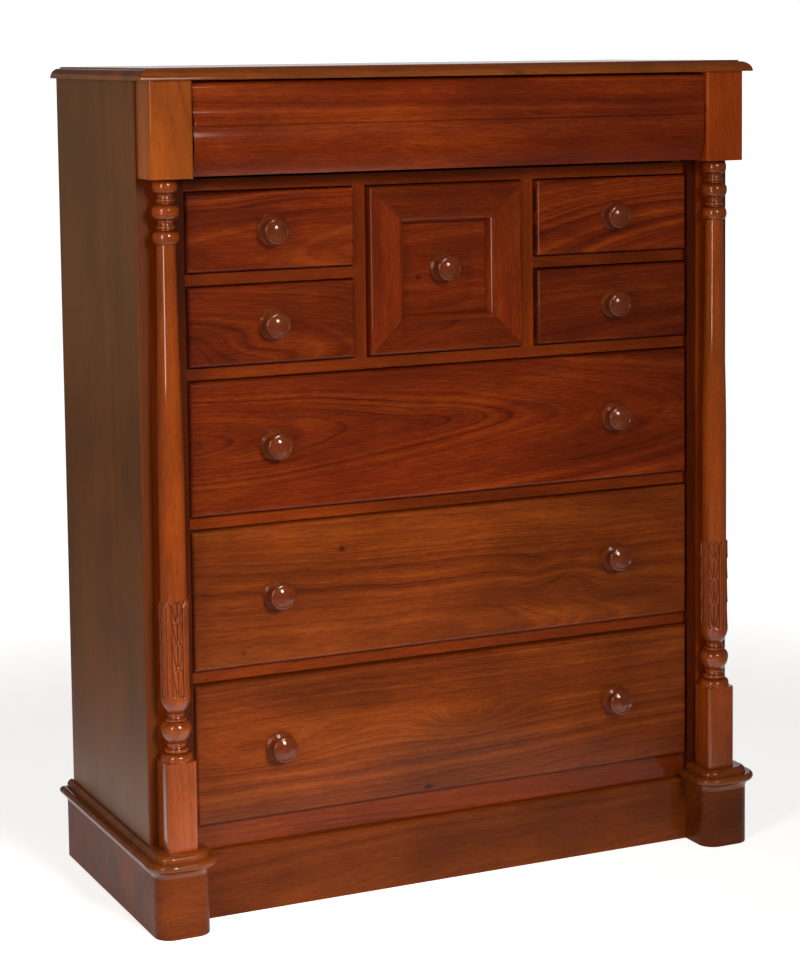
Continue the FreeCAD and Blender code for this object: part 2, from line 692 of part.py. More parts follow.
def cap_section(foot, out, depth):
    """Section of the cap moulding: cove, torus, step and quarter round, depth deep."""
    def at(width, height):
        return foot.add(out * width).add(V(0, 0, height))

    step_height = CAP_HEIGHT - CAP_QUARTER_RADIUS
    torus_top = step_height - CAP_STEP
    start = at(0, 0)
    cove_top = at(CAP_COVE_WIDTH, CAP_COVE_HEIGHT)
    tip = at(CAP_TIP, (CAP_COVE_HEIGHT + torus_top) / 2.0)
    seat = at(CAP_TORUS_SEAT, torus_top)
    step_low = at(0, torus_top)
    step_high = at(0, step_height)
    crown = at(-CAP_QUARTER_RADIUS, CAP_HEIGHT)
    back_high = at(-depth, CAP_HEIGHT)
    back_low = at(-depth, 0)
    edges = [bulged(start, cove_top, out * -1.0, CAP_COVE_SINK), arc(cove_top, tip, seat),
             line(seat, step_low), line(step_low, step_high),
             bulged(step_high, crown, out, CAP_QUARTER_RADIUS * QUARTER_SAGITTA)]
    if depth > CAP_QUARTER_RADIUS + TOLERANCE:
        edges.append(line(crown, back_high))
    edges.append(line(back_high, back_low))
    edges.append(line(back_low, start))
    return face_of(edges)


def block_cap():
    """Cap on the right-hand corner block, moulded on three sides, bored for the lower spigot."""
    r = CORNER_BLOCK_RADIUS
    z = PLINTH_HEIGHT
    turn_y = r - CORNER_BLOCK_PROJECTION
    outer_x = PLINTH_FACE - r
    inner_x = BLOCK_INNER + r
    outer = cap_section(V(PLINTH_FACE, turn_y, z), V(1, 0, 0), r)
    front = cap_section(V(outer_x, -CORNER_BLOCK_PROJECTION, z), V(0, -1, 0), r)
    inner = cap_section(V(BLOCK_INNER, turn_y, z), V(-1, 0, 0), r)
    down = V(0, 0, -1)
    pieces = [outer.extrude(V(0, -turn_y, 0)),
              outer.revolve(V(outer_x, turn_y, 0), down, 90),
              front.extrude(V(inner_x - outer_x, 0, 0)),
              front.translated(V(inner_x - outer_x, 0, 0)).revolve(V(inner_x, turn_y, 0), down, 90),
              inner.extrude(V(0, -turn_y, 0)),
              slab(inner_x, outer_x, turn_y, 0, z, CAP_TOP)]
    return cut_by(joined(pieces), [spigot(LOW_SPIGOT_Z)])


def side_cap():
    """Right-hand strip of the same moulding along the foot of the case side."""
    section = cap_section(V(PLINTH_FACE, 0, PLINTH_HEIGHT), V(1, 0, 0), PLINTH_OUTSET)
    return section.extrude(V(0, PLINTH_BACK_Y, 0))


def tongued_board(y0, z0, z1):
    """Board between the plinth sides with a tongue at each end."""
    body = slab(-PLINTH_INNER, PLINTH_INNER, y0, y0 + PLINTH_THICKNESS, z0, z1)
    reach = PLINTH_INNER + PLINTH_TONGUE
    inset = (PLINTH_THICKNESS - PLINTH_TONGUE_THICKNESS) / 2.0
    tongue = slab(-reach, reach, y0 + inset, y0 + inset + PLINTH_TONGUE_THICKNESS, z0, z1)
    return joined([body, tongue])


def plinth_front():
    """Recessed front board, raised between the stiles, its upper arris rounded."""
    raised = slab(-STILE_INNER, STILE_INNER, 0, PLINTH_THICKNESS, 0, FRONT_BOARD_HEIGHT)
    arris = edges_where(raised, lambda p: near(p.y, 0) and near(p.z, FRONT_BOARD_HEIGHT))
    raised = raised.makeFillet(FRONT_BOARD_ROUND, arris)
    return joined([tongued_board(0, 0, PLINTH_HEIGHT), raised])


def plinth_back():
    """Back board, kept clear of the floor."""
    return tongued_board(CASE_DEPTH - PLINTH_THICKNESS, PLINTH_HEIGHT - PLINTH_BACK_HEIGHT,
                         PLINTH_HEIGHT)


def plinth_side(front, back):
    """Right-hand side board, grooved for the tongues of the front and back boards."""
    board = slab(PLINTH_INNER, PLINTH_FACE, 0, PLINTH_BACK_Y, 0, PLINTH_HEIGHT)
    return cut_by(board, [front, back])


def glue_blocks():
    """Triangular blocks rubbed into the four inside corners of the plinth."""
    blocks = []
    for corner_y, into in ((PLINTH_THICKNESS, 1.0), (CASE_DEPTH - PLINTH_THICKNESS, -1.0)):
        low = PLINTH_HEIGHT - PLINTH_BACK_HEIGHT
        corner = V(PLINTH_INNER, corner_y, low)
        along_side = corner.add(V(0, into * GLUE_BLOCK_SIZE, 0))
        along_board = corner.add(V(-GLUE_BLOCK_SIZE, 0, 0))
        height = PLINTH_BACK_HEIGHT - GLUE_BLOCK_SHORTFALL
        blocks.extend(both(outline([corner, along_side, along_board]).extrude(V(0, 0, height))))
    return blocks


# ---- knobs -----------------------------------------------------------------------------
def knob(x, face_y, z):
    """Turned knob: spigot, rosette, neck, and a rimmed head with a low dome."""
    t = Turning(KNOB_SPIGOT_RADIUS, -KNOB_SPIGOT_LENGTH)
    t.rise(KNOB_SPIGOT_LENGTH)
    t.step(KNOB_ROSETTE_RADIUS)
    t.rise(KNOB_ROSETTE_RISE)
    t.go(KNOB_ROSETTE_LIP_RADIUS, KNOB_ROSETTE_LIP_RISE)
    t.go(KNOB_NECK_RADIUS, KNOB_NECK_RISE)
    t.go(KNOB_HEAD_RADIUS - KNOB_RIM_SWELL, KNOB_FLARE_RISE)
    t.curve(KNOB_SHOULDER_RADIUS, KNOB_RIM_RISE, KNOB_RIM_BULGE)
    t.go(KNOB_SHOULDER_RADIUS - KNOB_QUIRK_WIDTH, -KNOB_QUIRK_DEPTH)
    dome_half = math.atan2(KNOB_DOME_RISE, t.here.x)
    dome_chord = math.hypot(KNOB_DOME_RISE, t.here.x)
    t.curve(0.0, KNOB_DOME_RISE, dome_chord / 2.0 * math.tan(dome_half / 2.0))
    turned = t.solid()
    turned.rotate(V(0, 0, 0), V(1, 0, 0), 90)
    turned.translate(V(x, face_y, z))
    return turned


# ---- drawers ---------------------------------------------------------------------------
def tails(x0, x1, root_y, end_y, low, high):
    """Row of dovetails on the end of a board, widening from root_y to end_y."""
    count = max(2, round((high - low) / TAIL_PITCH))
    pitch = (high - low) / count
    end_half = pitch * TAIL_SHARE / 2.0
    root_half = end_half - TAIL_SLOPE * abs(end_y - root_y)
    row = []
    for i in range(count):
        middle = low + (i + 0.5) * pitch
        face = outline([V(x0, root_y, middle - root_half), V(x0, end_y, middle - end_half),
                        V(x0, end_y, middle + end_half), V(x0, root_y, middle + root_half)])
        row.append(face.extrude(V(x1 - x0, 0, 0)))
    return row


class Drawer:
    """Drawer between x0 and x1 that runs on bearing, with its front between low and high."""

    def __init__(self, x0, x1, bearing, low, high, board_y, back_y):
        self.x0 = x0
        self.x1 = x1
        self.low = low
        self.high = high
        self.board_y = board_y
        self.back_y = back_y
        self.box_low = bearing + BOX_RUNNING_CLEARANCE
        self.box_high = high - BOX_TOP_DROP
        self.bottom_low = self.box_low + BOTTOM_LIFT
        self.bottom_high = self.bottom_low + BOTTOM_THICKNESS

    def middle(self):
        return (self.x0 + self.x1) / 2.0

    def side(self, x0, x1):
        """Side with lapped dovetails at the front and through dovetails at the back."""
        inner_back_y = BOX_BACK_Y - BOX_BACK_THICKNESS
        plate = slab(x0, x1, self.back_y, inner_back_y, self.box_low, self.box_high)
        foot = slab(x0, x1, inner_back_y, BOX_BACK_Y, self.box_low, self.bottom_high)
        front = tails(x0, x1, self.back_y, self.board_y + TAIL_LAP, self.low, self.box_high)
        back = tails(x0, x1, inner_back_y, BOX_BACK_Y, self.bottom_high, self.box_high)
        return joined([plate, foot] + front + back)

    def bottoms(self, panels):
        """Bottom panels side by side, in the grooves of the sides and of the front."""
        x0 = self.x0 + BOX_SIDE_THICKNESS
        x1 = self.x1 - BOX_SIDE_THICKNESS
        bay = (x1 - x0 - MUNTIN_WIDTH * (panels - 1)) / panels
        boards = []
        for i in range(panels):
            start = x0 + i * (bay + MUNTIN_WIDTH)
            boards.append(slab(start - BOTTOM_GROOVE, start + bay + BOTTOM_GROOVE,
                               self.back_y - BOTTOM_GROOVE, BOX_BACK_Y,
                               self.bottom_low, self.bottom_high))
        return boards

    def muntin(self, boards):
        """Grooved bar that carries the inner edges of a long drawer's two bottom panels."""
        x = self.middle()
        low = self.bottom_low - MUNTIN_DROP
        bar = slab(x - MUNTIN_WIDTH / 2.0, x + MUNTIN_WIDTH / 2.0, self.back_y,
                   BOX_BACK_Y - BOX_BACK_THICKNESS, low, low + MUNTIN_THICKNESS)
        return cut_by(bar, boards)

    def box(self, panels):
        """Two sides, back and bottom of the drawer."""
        left = self.side(self.x0, self.x0 + BOX_SIDE_THICKNESS)
        right = self.side(self.x1 - BOX_SIDE_THICKNESS, self.x1)
        back = slab(self.x0, self.x1, BOX_BACK_Y - BOX_BACK_THICKNESS, BOX_BACK_Y,
                    self.bottom_high, self.box_high)
        back = cut_by(back, [left, right])
        boards = self.bottoms(panels)
        pieces = [cut_by(left, boards), cut_by(right, boards), back] + boards
        if panels > 1:
            pieces.append(self.muntin(boards))
        return pieces

    def board(self):
        """Front board before its sockets, groove and knob holes are cut."""
        return slab(self.x0, self.x1, self.board_y, self.back_y, self.low, self.high)


def rounded_front(board, face_y):
    """Front board with its four front arrises rounded."""
    rim = edges_where(board, lambda p: near(p.y, face_y))
    return board.makeFillet(FRONT_EDGE_RADIUS, rim)


def plain_drawer(name, x0, x1, rail_top, next_rail_bottom, knob_offsets, panels):
    """Drawer with one flat front: writes the front with its knobs, and the box behind it."""
    drawer = Drawer(x0, x1, rail_top, rail_top + FRONT_GAP_BELOW,
                    next_rail_bottom - FRONT_GAP_ABOVE, FRONT_FACE_Y, FRONT_BACK_Y)
    box = drawer.box(panels)
    height = (drawer.low + drawer.high) / 2.0
    knobs = [knob(drawer.middle() + offset, FRONT_FACE_Y, height) for offset in knob_offsets]
    front = rounded_front(drawer.board(), FRONT_FACE_Y)
    save(name + "_front", [cut_by(front, box + knobs)] + knobs)
    save(name + "_box", box)


def mitred_ring(x0, x1, z0, z1, width, y0, y1, section):
    """Four members round a rectangle, each the given section cut to a mitre at both ends."""
    corners = [V(x0, 0, z0), V(x1, 0, z0), V(x1, 0, z1), V(x0, 0, z1)]
    members = []
    for i in range(4):
        start = corners[i]
        run = corners[(i + 1) % 4].sub(start)
        along = V(run).normalize()
        inward = V(-along.z, 0, along.x)
        end_in = start.add(run).add(inward * width).sub(along * width)
        start_in = start.add(inward * width).add(along * width)
        plan = outline([start, start.add(run), end_in, start_in])
        plan.translate(V(0, y0, 0))
        wedge = plan.extrude(V(0, y1 - y0, 0))
        members.append(section(start, inward).extrude(run).common(wedge))
    return members


def frame_section(start, inward):
    """Flat frame member with its outer front arris rounded."""
    r = FRONT_EDGE_RADIUS
    front = V(0, FRONT_FACE_Y, 0)
    back = V(0, CENTRE_BASE_Y, 0)
    a = start.add(back)
    b = start.add(V(0, FRONT_FACE_Y + r, 0))
    c = start.add(front).add(inward * r)
    d = start.add(front).add(inward * CENTRE_FRAME_WIDTH)
    e = start.add(back).add(inward * CENTRE_FRAME_WIDTH)
    round_edge = bulged(b, c, V(0, -1, 0), r * QUARTER_SAGITTA)
    return face_of([line(a, b), round_edge, line(c, d), line(d, e), line(e, a)])


def ovolo_section(start, inward):
    """Ovolo that falls from the frame's inner edge to the sunk panel."""
    a = start.add(V(0, CENTRE_BASE_Y, 0))
    b = start.add(V(0, FRONT_FACE_Y + CENTRE_MOULDING_TOP_DROP, 0))
    c = start.add(inward * CENTRE_MOULDING_WIDTH)
    c = c.add(V(0, CENTRE_BASE_Y - CENTRE_MOULDING_LIP, 0))
    d = start.add(inward * CENTRE_MOULDING_WIDTH).add(V(0, CENTRE_BASE_Y, 0))
    return face_of([line(a, b), bulged(b, c, inward, CENTRE_MOULDING_SWELL),
                    line(c, d), line(d, a)])


def centre_drawer():
    """Square drawer with a mitred frame, an ovolo and a sunk panel on its base board."""
    drawer = Drawer(-CENTRE_HALF, CENTRE_HALF, MIDDLE_RAIL_TOP,
                    MIDDLE_RAIL_TOP + FRONT_GAP_BELOW,
                    FRIEZE_RAIL_TOP - RAIL_THICKNESS - FRONT_GAP_ABOVE,
                    CENTRE_BASE_Y, CENTRE_BACK_Y)
    box = drawer.box(1)
    turned = knob(0, CENTRE_BASE_Y, (drawer.low + drawer.high) / 2.0)
    w = CENTRE_FRAME_WIDTH
    save("drawer_centre_panel", [cut_by(drawer.board(), box + [turned]), turned])
    save("drawer_centre_frame", mitred_ring(drawer.x0, drawer.x1, drawer.low, drawer.high, w,
                                            FRONT_FACE_Y, CENTRE_BASE_Y, frame_section))
    save("drawer_centre_moulding", mitred_ring(drawer.x0 + w, drawer.x1 - w, drawer.low + w,
                                               drawer.high - w, CENTRE_MOULDING_WIDTH,
                                               FRONT_FACE_Y, CENTRE_BASE_Y, ovolo_section))
    save("drawer_centre_box", box)


def frieze_moulding():
    """Moulding planted on the frieze drawer: flat, cove, bead, quirk and a large ovolo."""
    def at(projection, z):
        return V(-FRIEZE_HALF, -projection, z)

    face = FRIEZE_FACE_PROJECTION
    bead = FRIEZE_BEAD_PROJECTION
    face_top = FRIEZE_TOP - FRIEZE_TOP_RADIUS
    cove_top = face_top - FRIEZE_FACE_HEIGHT
    bead_top = cove_top - FRIEZE_COVE_HEIGHT
    bead_low = bead_top - FRIEZE_BEAD_HEIGHT
    ovolo_top = bead_low - FRIEZE_QUIRK_HEIGHT
    back_high = at(-FRIEZE_PLANT_Y, FRIEZE_TOP)
    back_low = at(-FRIEZE_PLANT_Y, FRIEZE_BOTTOM)
    crown = at(face - FRIEZE_TOP_RADIUS, FRIEZE_TOP)
    out = V(0, -1, 0)
    edges = [line(back_high, crown),
             bulged(crown, at(face, face_top), out, FRIEZE_TOP_RADIUS * QUARTER_SAGITTA),
             line(at(face, face_top), at(face, cove_top)),
             bulged(at(face, cove_top), at(bead, bead_top), out, -FRIEZE_COVE_SINK),
             line(at(bead, bead_top), at(bead, bead_low)),
             line(at(bead, bead_low), at(face, bead_low)),
             line(at(face, bead_low), at(face, ovolo_top)),
             bulged(at(face, ovolo_top), at(FRIEZE_FOOT_PROJECTION, FRIEZE_BOTTOM), out,
                    FRIEZE_OVOLO_SWELL),
             line(at(FRIEZE_FOOT_PROJECTION, FRIEZE_BOTTOM), back_low),
             line(back_low, back_high)]
    length = face_of(edges).extrude(V(2.0 * FRIEZE_HALF, 0, 0))
    plan = slab(-FRIEZE_HALF, FRIEZE_HALF, -bead, FRIEZE_PLANT_Y,
                FRIEZE_BOTTOM, FRIEZE_TOP)
    ends = edges_where(plan, lambda p: near(p.y, -bead))
    ends = [e for e in ends if abs(e.tangentAt(e.FirstParameter).z) > TOLERANCE]
    return length.common(plan.makeFillet(FRIEZE_END_RADIUS, ends))


def frieze_drawer():
    """Shallow drawer hidden behind the frieze, pulled by its moulding."""
    drawer = Drawer(-WIDE_HALF, WIDE_HALF, FRIEZE_RAIL_TOP, FRIEZE_BOTTOM, FRIEZE_TOP,
                    FRIEZE_PLANT_Y, FRIEZE_BACK_Y)
    drawer.box_high = TOP_UNDERSIDE - RAIL_THICKNESS - BOX_TOP_DROP
    box = drawer.box(2)
    board = slab(-FRIEZE_HALF, FRIEZE_HALF, FRIEZE_PLANT_Y, FRIEZE_BACK_Y,
                 FRIEZE_BOTTOM, FRIEZE_TOP)
    save("drawer_frieze_front", cut_by(board, box))
    save("drawer_frieze_moulding", frieze_moulding())
    save("drawer_frieze_box", box)


def drawers():
    """All nine drawers."""
    frieze_drawer()
    centre_drawer()
    small_low = SMALL_RAIL_TOP - RAIL_THICKNESS
    frieze_low = FRIEZE_RAIL_TOP - RAIL_THICKNESS
    for side, x0, x1 in (("left", -WIDE_HALF, -SMALL_INNER), ("right", SMALL_INNER, WIDE_HALF)):
        plain_drawer("drawer_upper_" + side, x0, x1, SMALL_RAIL_TOP, frieze_low, [0.0], 1)
        plain_drawer("drawer_lower_" + side, x0, x1, MIDDLE_RAIL_TOP, small_low, [0.0], 1)
    pair = [-KNOB_SPREAD / 2.0, KNOB_SPREAD / 2.0]
    rows = ((1, UPPER_LONG_RAIL_TOP, MIDDLE_RAIL_TOP), (2, LOWER_LONG_RAIL_TOP, UPPER_LONG_RAIL_TOP),
            (3, BOTTOM_RAIL_TOP, LOWER_LONG_RAIL_TOP))
    for number, bearing, above in rows:
        plain_drawer("drawer_long_" + str(number), -WIDE_HALF, WIDE_HALF, bearing,
                     above - RAIL_THICKNESS, pair, 2)


# ---- case ------------------------------------------------------------------------------
def case_frame():
    """Sides, stiles, rails, dividers, partitions, runners, guides, panels and stops."""
    rails = {"frieze_rail": rail(FRIEZE_RAIL_TOP, RAIL_THICKNESS),
             "middle_rail": rail(MIDDLE_RAIL_TOP, RAIL_THICKNESS),
             "upper_long_rail": rail(UPPER_LONG_RAIL_TOP, RAIL_THICKNESS),
             "lower_long_rail": rail(LOWER_LONG_RAIL_TOP, RAIL_THICKNESS),
             "bottom_rail": rail(BOTTOM_RAIL_TOP, BOTTOM_RAIL_HEIGHT)}
    tops = {"frieze_rail": FRIEZE_RAIL_TOP, "middle_rail": MIDDLE_RAIL_TOP,
            "upper_long_rail": UPPER_LONG_RAIL_TOP, "lower_long_rail": LOWER_LONG_RAIL_TOP,
            "bottom_rail": BOTTOM_RAIL_TOP}
    runners = {node: both(runner(top)) for node, top in tops.items()}
    for node in ("frieze_rail", "middle_rail"):
        runners[node].extend(both(inner_runner(tops[node])))
    panels = {node: [dust_panel(top, -RUNNER_INNER, RUNNER_INNER)] for node, top in tops.items()}
    for node in ("frieze_rail", "middle_rail"):
        panels[node] = split_frame_panels(tops[node])
    upright = divider()
    short_rail = small_rail()
    top_rail = rail(TOP_UNDERSIDE, RAIL_THICKNESS)
    kicker = runner(TOP_UNDERSIDE)
    save("top_rail", cut_by(top_rail, both(kicker)))
    for node, piece in rails.items():
        entering = runners[node] + panels[node]
        if node in ("frieze_rail", "middle_rail"):
            entering = entering + both(upright)
        save(node, cut_by(piece, entering))
    outer_small, inner_small = small_runners()
    all_runners = [cut_by(r, panels[node]) for node in runners for r in runners[node]]
    save("runners", all_runners + both(kicker) + both(outer_small) + both(inner_small))
    save("dust_panels", [panel for node in panels for panel in panels[node]])
    save("drawer_guides", [g for top in list(tops.values()) + [SMALL_RAIL_TOP]
                           for g in both(guide(top))])
    save("dividers", both(cut_by(upright, [short_rail])))
    save("small_rails", both(short_rail))
    save("partitions", both(partition(inner_small)))
    housed = [runners[node][0] for node in runners] + [kicker, outer_small]
    side = case_side(housed)
    save("side_right", side)
    save("side_left", mirrored(side))
    post = stile(list(rails.values()) + [top_rail, short_rail])
    save("stile_right", post)
    save("stile_left", mirrored(post))


def drawer_stops():
    """A pair of stops for every drawer but the frieze, which closes against the stiles."""
    wide = [-WIDE_HALF / 2.0, WIDE_HALF / 2.0]
    quarter = (WIDE_HALF - SMALL_INNER) / 4.0
    small_middle = (WIDE_HALF + SMALL_INNER) / 2.0
    small = [side * (small_middle + offset) for side in (-1, 1) for offset in (-quarter, quarter)]
    centre = [-CENTRE_HALF / 2.0, CENTRE_HALF / 2.0]
    pieces = stops(small, SMALL_RAIL_TOP, FRONT_BACK_Y)
    pieces += stops(small, MIDDLE_RAIL_TOP, FRONT_BACK_Y)
    pieces += stops(centre, MIDDLE_RAIL_TOP, CENTRE_BACK_Y)
    for bearing in (UPPER_LONG_RAIL_TOP, LOWER_LONG_RAIL_TOP, BOTTOM_RAIL_TOP):
        pieces += stops(wide, bearing, FRONT_BACK_Y)
    return pieces


def plinth():
    """Front, sides, back, corner blocks, glue blocks and the cap moulding."""
    front = plinth_front()
    back = plinth_back()
    save("plinth_front", front)
    save("plinth_boards", both(plinth_side(front, back)) + [back])
    save("glue_blocks", glue_blocks())
    block = corner_block()
    save("corner_block_right", block)
    save("corner_block_left", mirrored(block))


def architecture():
    """Columns with the capital blocks above them and the plinth caps below."""
    turned = column()
    block = capital()
    cap = [block_cap(), side_cap()]
    save("column_right", turned)
    save("column_left", mirrored(turned))
    save("capital_right", block)
    save("capital_left", mirrored(block))
    save("plinth_cap_right", cap)
    save("plinth_cap_left", [mirrored(piece) for piece in cap])


os.makedirs("parts", exist_ok=True)
save("top_board", top_board())
save("back_boards", back_boards())
save("drawer_stops", drawer_stops())
case_frame()
plinth()
architecture()
drawers()
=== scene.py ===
"""Looks of the block front chest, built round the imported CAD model."""
import math

import bmesh
import bpy
from mathutils import Matrix, Vector


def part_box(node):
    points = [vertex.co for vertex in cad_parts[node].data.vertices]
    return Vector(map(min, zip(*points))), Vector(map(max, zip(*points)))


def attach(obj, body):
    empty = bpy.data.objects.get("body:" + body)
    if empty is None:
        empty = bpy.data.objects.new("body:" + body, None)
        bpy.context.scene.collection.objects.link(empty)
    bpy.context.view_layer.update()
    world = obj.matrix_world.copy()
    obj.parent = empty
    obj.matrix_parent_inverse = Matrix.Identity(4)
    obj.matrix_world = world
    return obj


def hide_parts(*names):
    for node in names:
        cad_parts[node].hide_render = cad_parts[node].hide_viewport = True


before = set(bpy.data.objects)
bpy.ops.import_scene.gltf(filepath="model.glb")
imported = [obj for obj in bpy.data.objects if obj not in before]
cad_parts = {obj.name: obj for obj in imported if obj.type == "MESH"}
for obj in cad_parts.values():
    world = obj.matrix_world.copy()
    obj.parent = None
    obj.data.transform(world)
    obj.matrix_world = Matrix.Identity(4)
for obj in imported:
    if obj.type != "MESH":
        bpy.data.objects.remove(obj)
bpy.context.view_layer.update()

# ---- camera: fitted to the photograph, in metres ----------------------------------------
IMAGE_WIDTH = 800
IMAGE_HEIGHT = 965
CAMERA_PLACE = Vector((-1.85699, -4.03398, 1.47121))
CAMERA_YAW = math.radians(25.485)
CAMERA_PITCH = math.radians(-5.642)
CAMERA_ROLL = math.radians(-0.585)
FOCAL_PIXELS = 2485.65
PRINCIPAL_POINT = (439.72, 289.23)
SENSOR = 36.0
CAMERA_REACH = 200.0


def make_camera():
    """The photograph's camera. Its shift is the photograph's own framing."""
    forward = Vector((math.sin(CAMERA_YAW) * math.cos(CAMERA_PITCH),
                      math.cos(CAMERA_YAW) * math.cos(CAMERA_PITCH),
                      math.sin(CAMERA_PITCH)))
    level = Vector((math.cos(CAMERA_YAW), -math.sin(CAMERA_YAW), 0.0))
    upright = level.cross(forward)
    right = level * math.cos(CAMERA_ROLL) + upright * math.sin(CAMERA_ROLL)
    up = upright * math.cos(CAMERA_ROLL) - level * math.sin(CAMERA_ROLL)
    data = bpy.data.cameras.new("photo_camera")
    data.sensor_width = SENSOR
    data.lens = FOCAL_PIXELS * SENSOR / IMAGE_HEIGHT
    data.shift_x = (IMAGE_WIDTH / 2 - PRINCIPAL_POINT[0]) / IMAGE_HEIGHT
    data.shift_y = (PRINCIPAL_POINT[1] - IMAGE_HEIGHT / 2) / IMAGE_HEIGHT
    data.clip_end = CAMERA_REACH
    camera = bpy.data.objects.new("photo_camera", data)
    turn = Matrix((right, up, -forward)).transposed().to_4x4()
    camera.matrix_world = Matrix.Translation(CAMERA_PLACE) @ turn
    bpy.context.collection.objects.link(camera)
    bpy.context.scene.camera = camera


make_camera()

# ---- node helpers -----------------------------------------------------------------------


def feed(tree, socket, value):
    """Sets a socket's value, or links it from another socket."""
    if isinstance(value, bpy.types.NodeSocket):
        tree.links.new(value, socket)
    else:
        socket.default_value = value


def add(tree, kind, inputs=None, **settings):
    """A new node with its settings made and its inputs set, or linked from other sockets."""
    node = tree.nodes.new(kind)
    for name, value in settings.items():
        setattr(node, name, value)
    for name, value in (inputs or {}).items():
        feed(tree, node.inputs[name], value)
    return node


def calc(tree, operation, *values):
    """One step of arithmetic, as a socket."""
    inputs = dict(enumerate(values))
    return add(tree, "ShaderNodeMath", inputs, operation=operation).outputs[0]


def plus(tree, a, b):
    """The sum of two numbers."""
    return calc(tree, "ADD", a, b)


def minus(tree, a, b):
    """The difference of two numbers."""
    return calc(tree, "SUBTRACT", a, b)


def times(tree, a, b):
    """The product of two numbers."""
    return calc(tree, "MULTIPLY", a, b)


def swing(tree, value, amount):
    """A noise, which runs from 0 to 1, as a change to either side by half of an amount."""
    return times(tree, minus(tree, value, 0.5), amount)


def axes(tree, vector):
    """The three parts of a vector, as sockets."""
    return add(tree, "ShaderNodeSeparateXYZ", {0: vector}).outputs


def vector_sum(tree, a, b):
    """The sum of two vectors."""
    return add(tree, "ShaderNodeVectorMath", {0: a, 1: b}, operation="ADD").outputs[0]


def reach(tree, value, low, high, to_low=0.0, to_high=1.0, smooth=True):
    """The value brought from one range to another, held at its ends."""
    inputs = {"Value": value, "From Min": low, "From Max": high, "To Min": to_low, "To Max": to_high}
    kind = "SMOOTHSTEP" if smooth else "LINEAR"
    return add(tree, "ShaderNodeMapRange", inputs, interpolation_type=kind).outputs[0]


def noise(tree, vector, stretch, detail=3.0, roughness=0.5, distortion=0.0):
    """Noise whose pattern is stretched differently along each direction of the grain."""
    spread = add(tree, "ShaderNodeVectorMath", {0: vector, 1: stretch}, operation="MULTIPLY").outputs[0]
    inputs = {"Vector": spread, "Scale": 1.0, "Detail": detail, "Roughness": roughness,
              "Distortion": distortion}
    return add(tree, "ShaderNodeTexNoise", inputs).outputs[0]


def line_noise(tree, value, detail, roughness=0.5):
    """Noise along one line."""
    inputs = {"W": value, "Scale": 1.0, "Detail": detail, "Roughness": roughness}
    return add(tree, "ShaderNodeTexNoise", inputs, noise_dimensions="1D").outputs[0]


def blend_colour(tree, factor, a, b, mode="MIX"):
    """Two colours, mixed or multiplied by as much as the factor says."""
    inputs = {0: factor, 6: a, 7: b}
    return add(tree, "ShaderNodeMix", inputs, data_type="RGBA", blend_type=mode).outputs[2]


def darken(tree, colour, share, shade):
    """The colour multiplied by a shade wherever share is 1."""
    return blend_colour(tree, share, colour, blend_colour(tree, 1.0, colour, shade, "MULTIPLY"))


def rgb(red, green, blue):
    """An opaque colour."""
    return (red, green, blue, 1.0)


# ---- the wood's figure: stretches are per metre, the first along the grain ----------------
RING_PITCH = 0.0042
SWAY_STRETCH = (1.9, 6.5, 6.5)
SWAY_DEPTH = 0.035
SWAY_ACROSS = 0.02
RIPPLE_STRETCH = (11.0, 34.0, 34.0)
RIPPLE = 0.0016
UNEVEN_STRETCH = 60.0
UNEVEN_RINGS = 3.0
# the dark edge starts and peaks at these shares of a ring; the power leaves few rings strong
RING_START = 0.45
RING_EDGE = 0.92
FAINT_RINGS = 1.8
PATCH_STRETCH = (3.0, 14.0, 14.0)
PATCH_FROM = (0.35, 0.65)
PATCH_TO = (0.1, 1.0)
STRIPE_STRETCH = 95.0
SWEEP_STRETCH = (1.5, 13.0, 13.0)
FIBRE_STRETCH = (34.0, 460.0, 460.0)
FIBRE = 0.75
VESSEL_STRETCH = (45.0, 800.0, 800.0)
VESSEL_FROM = (0.56, 0.72)
CLOUD_STRETCH = (4.2, 7.0, 7.0)
FIBRE_RELIEF = 0.5


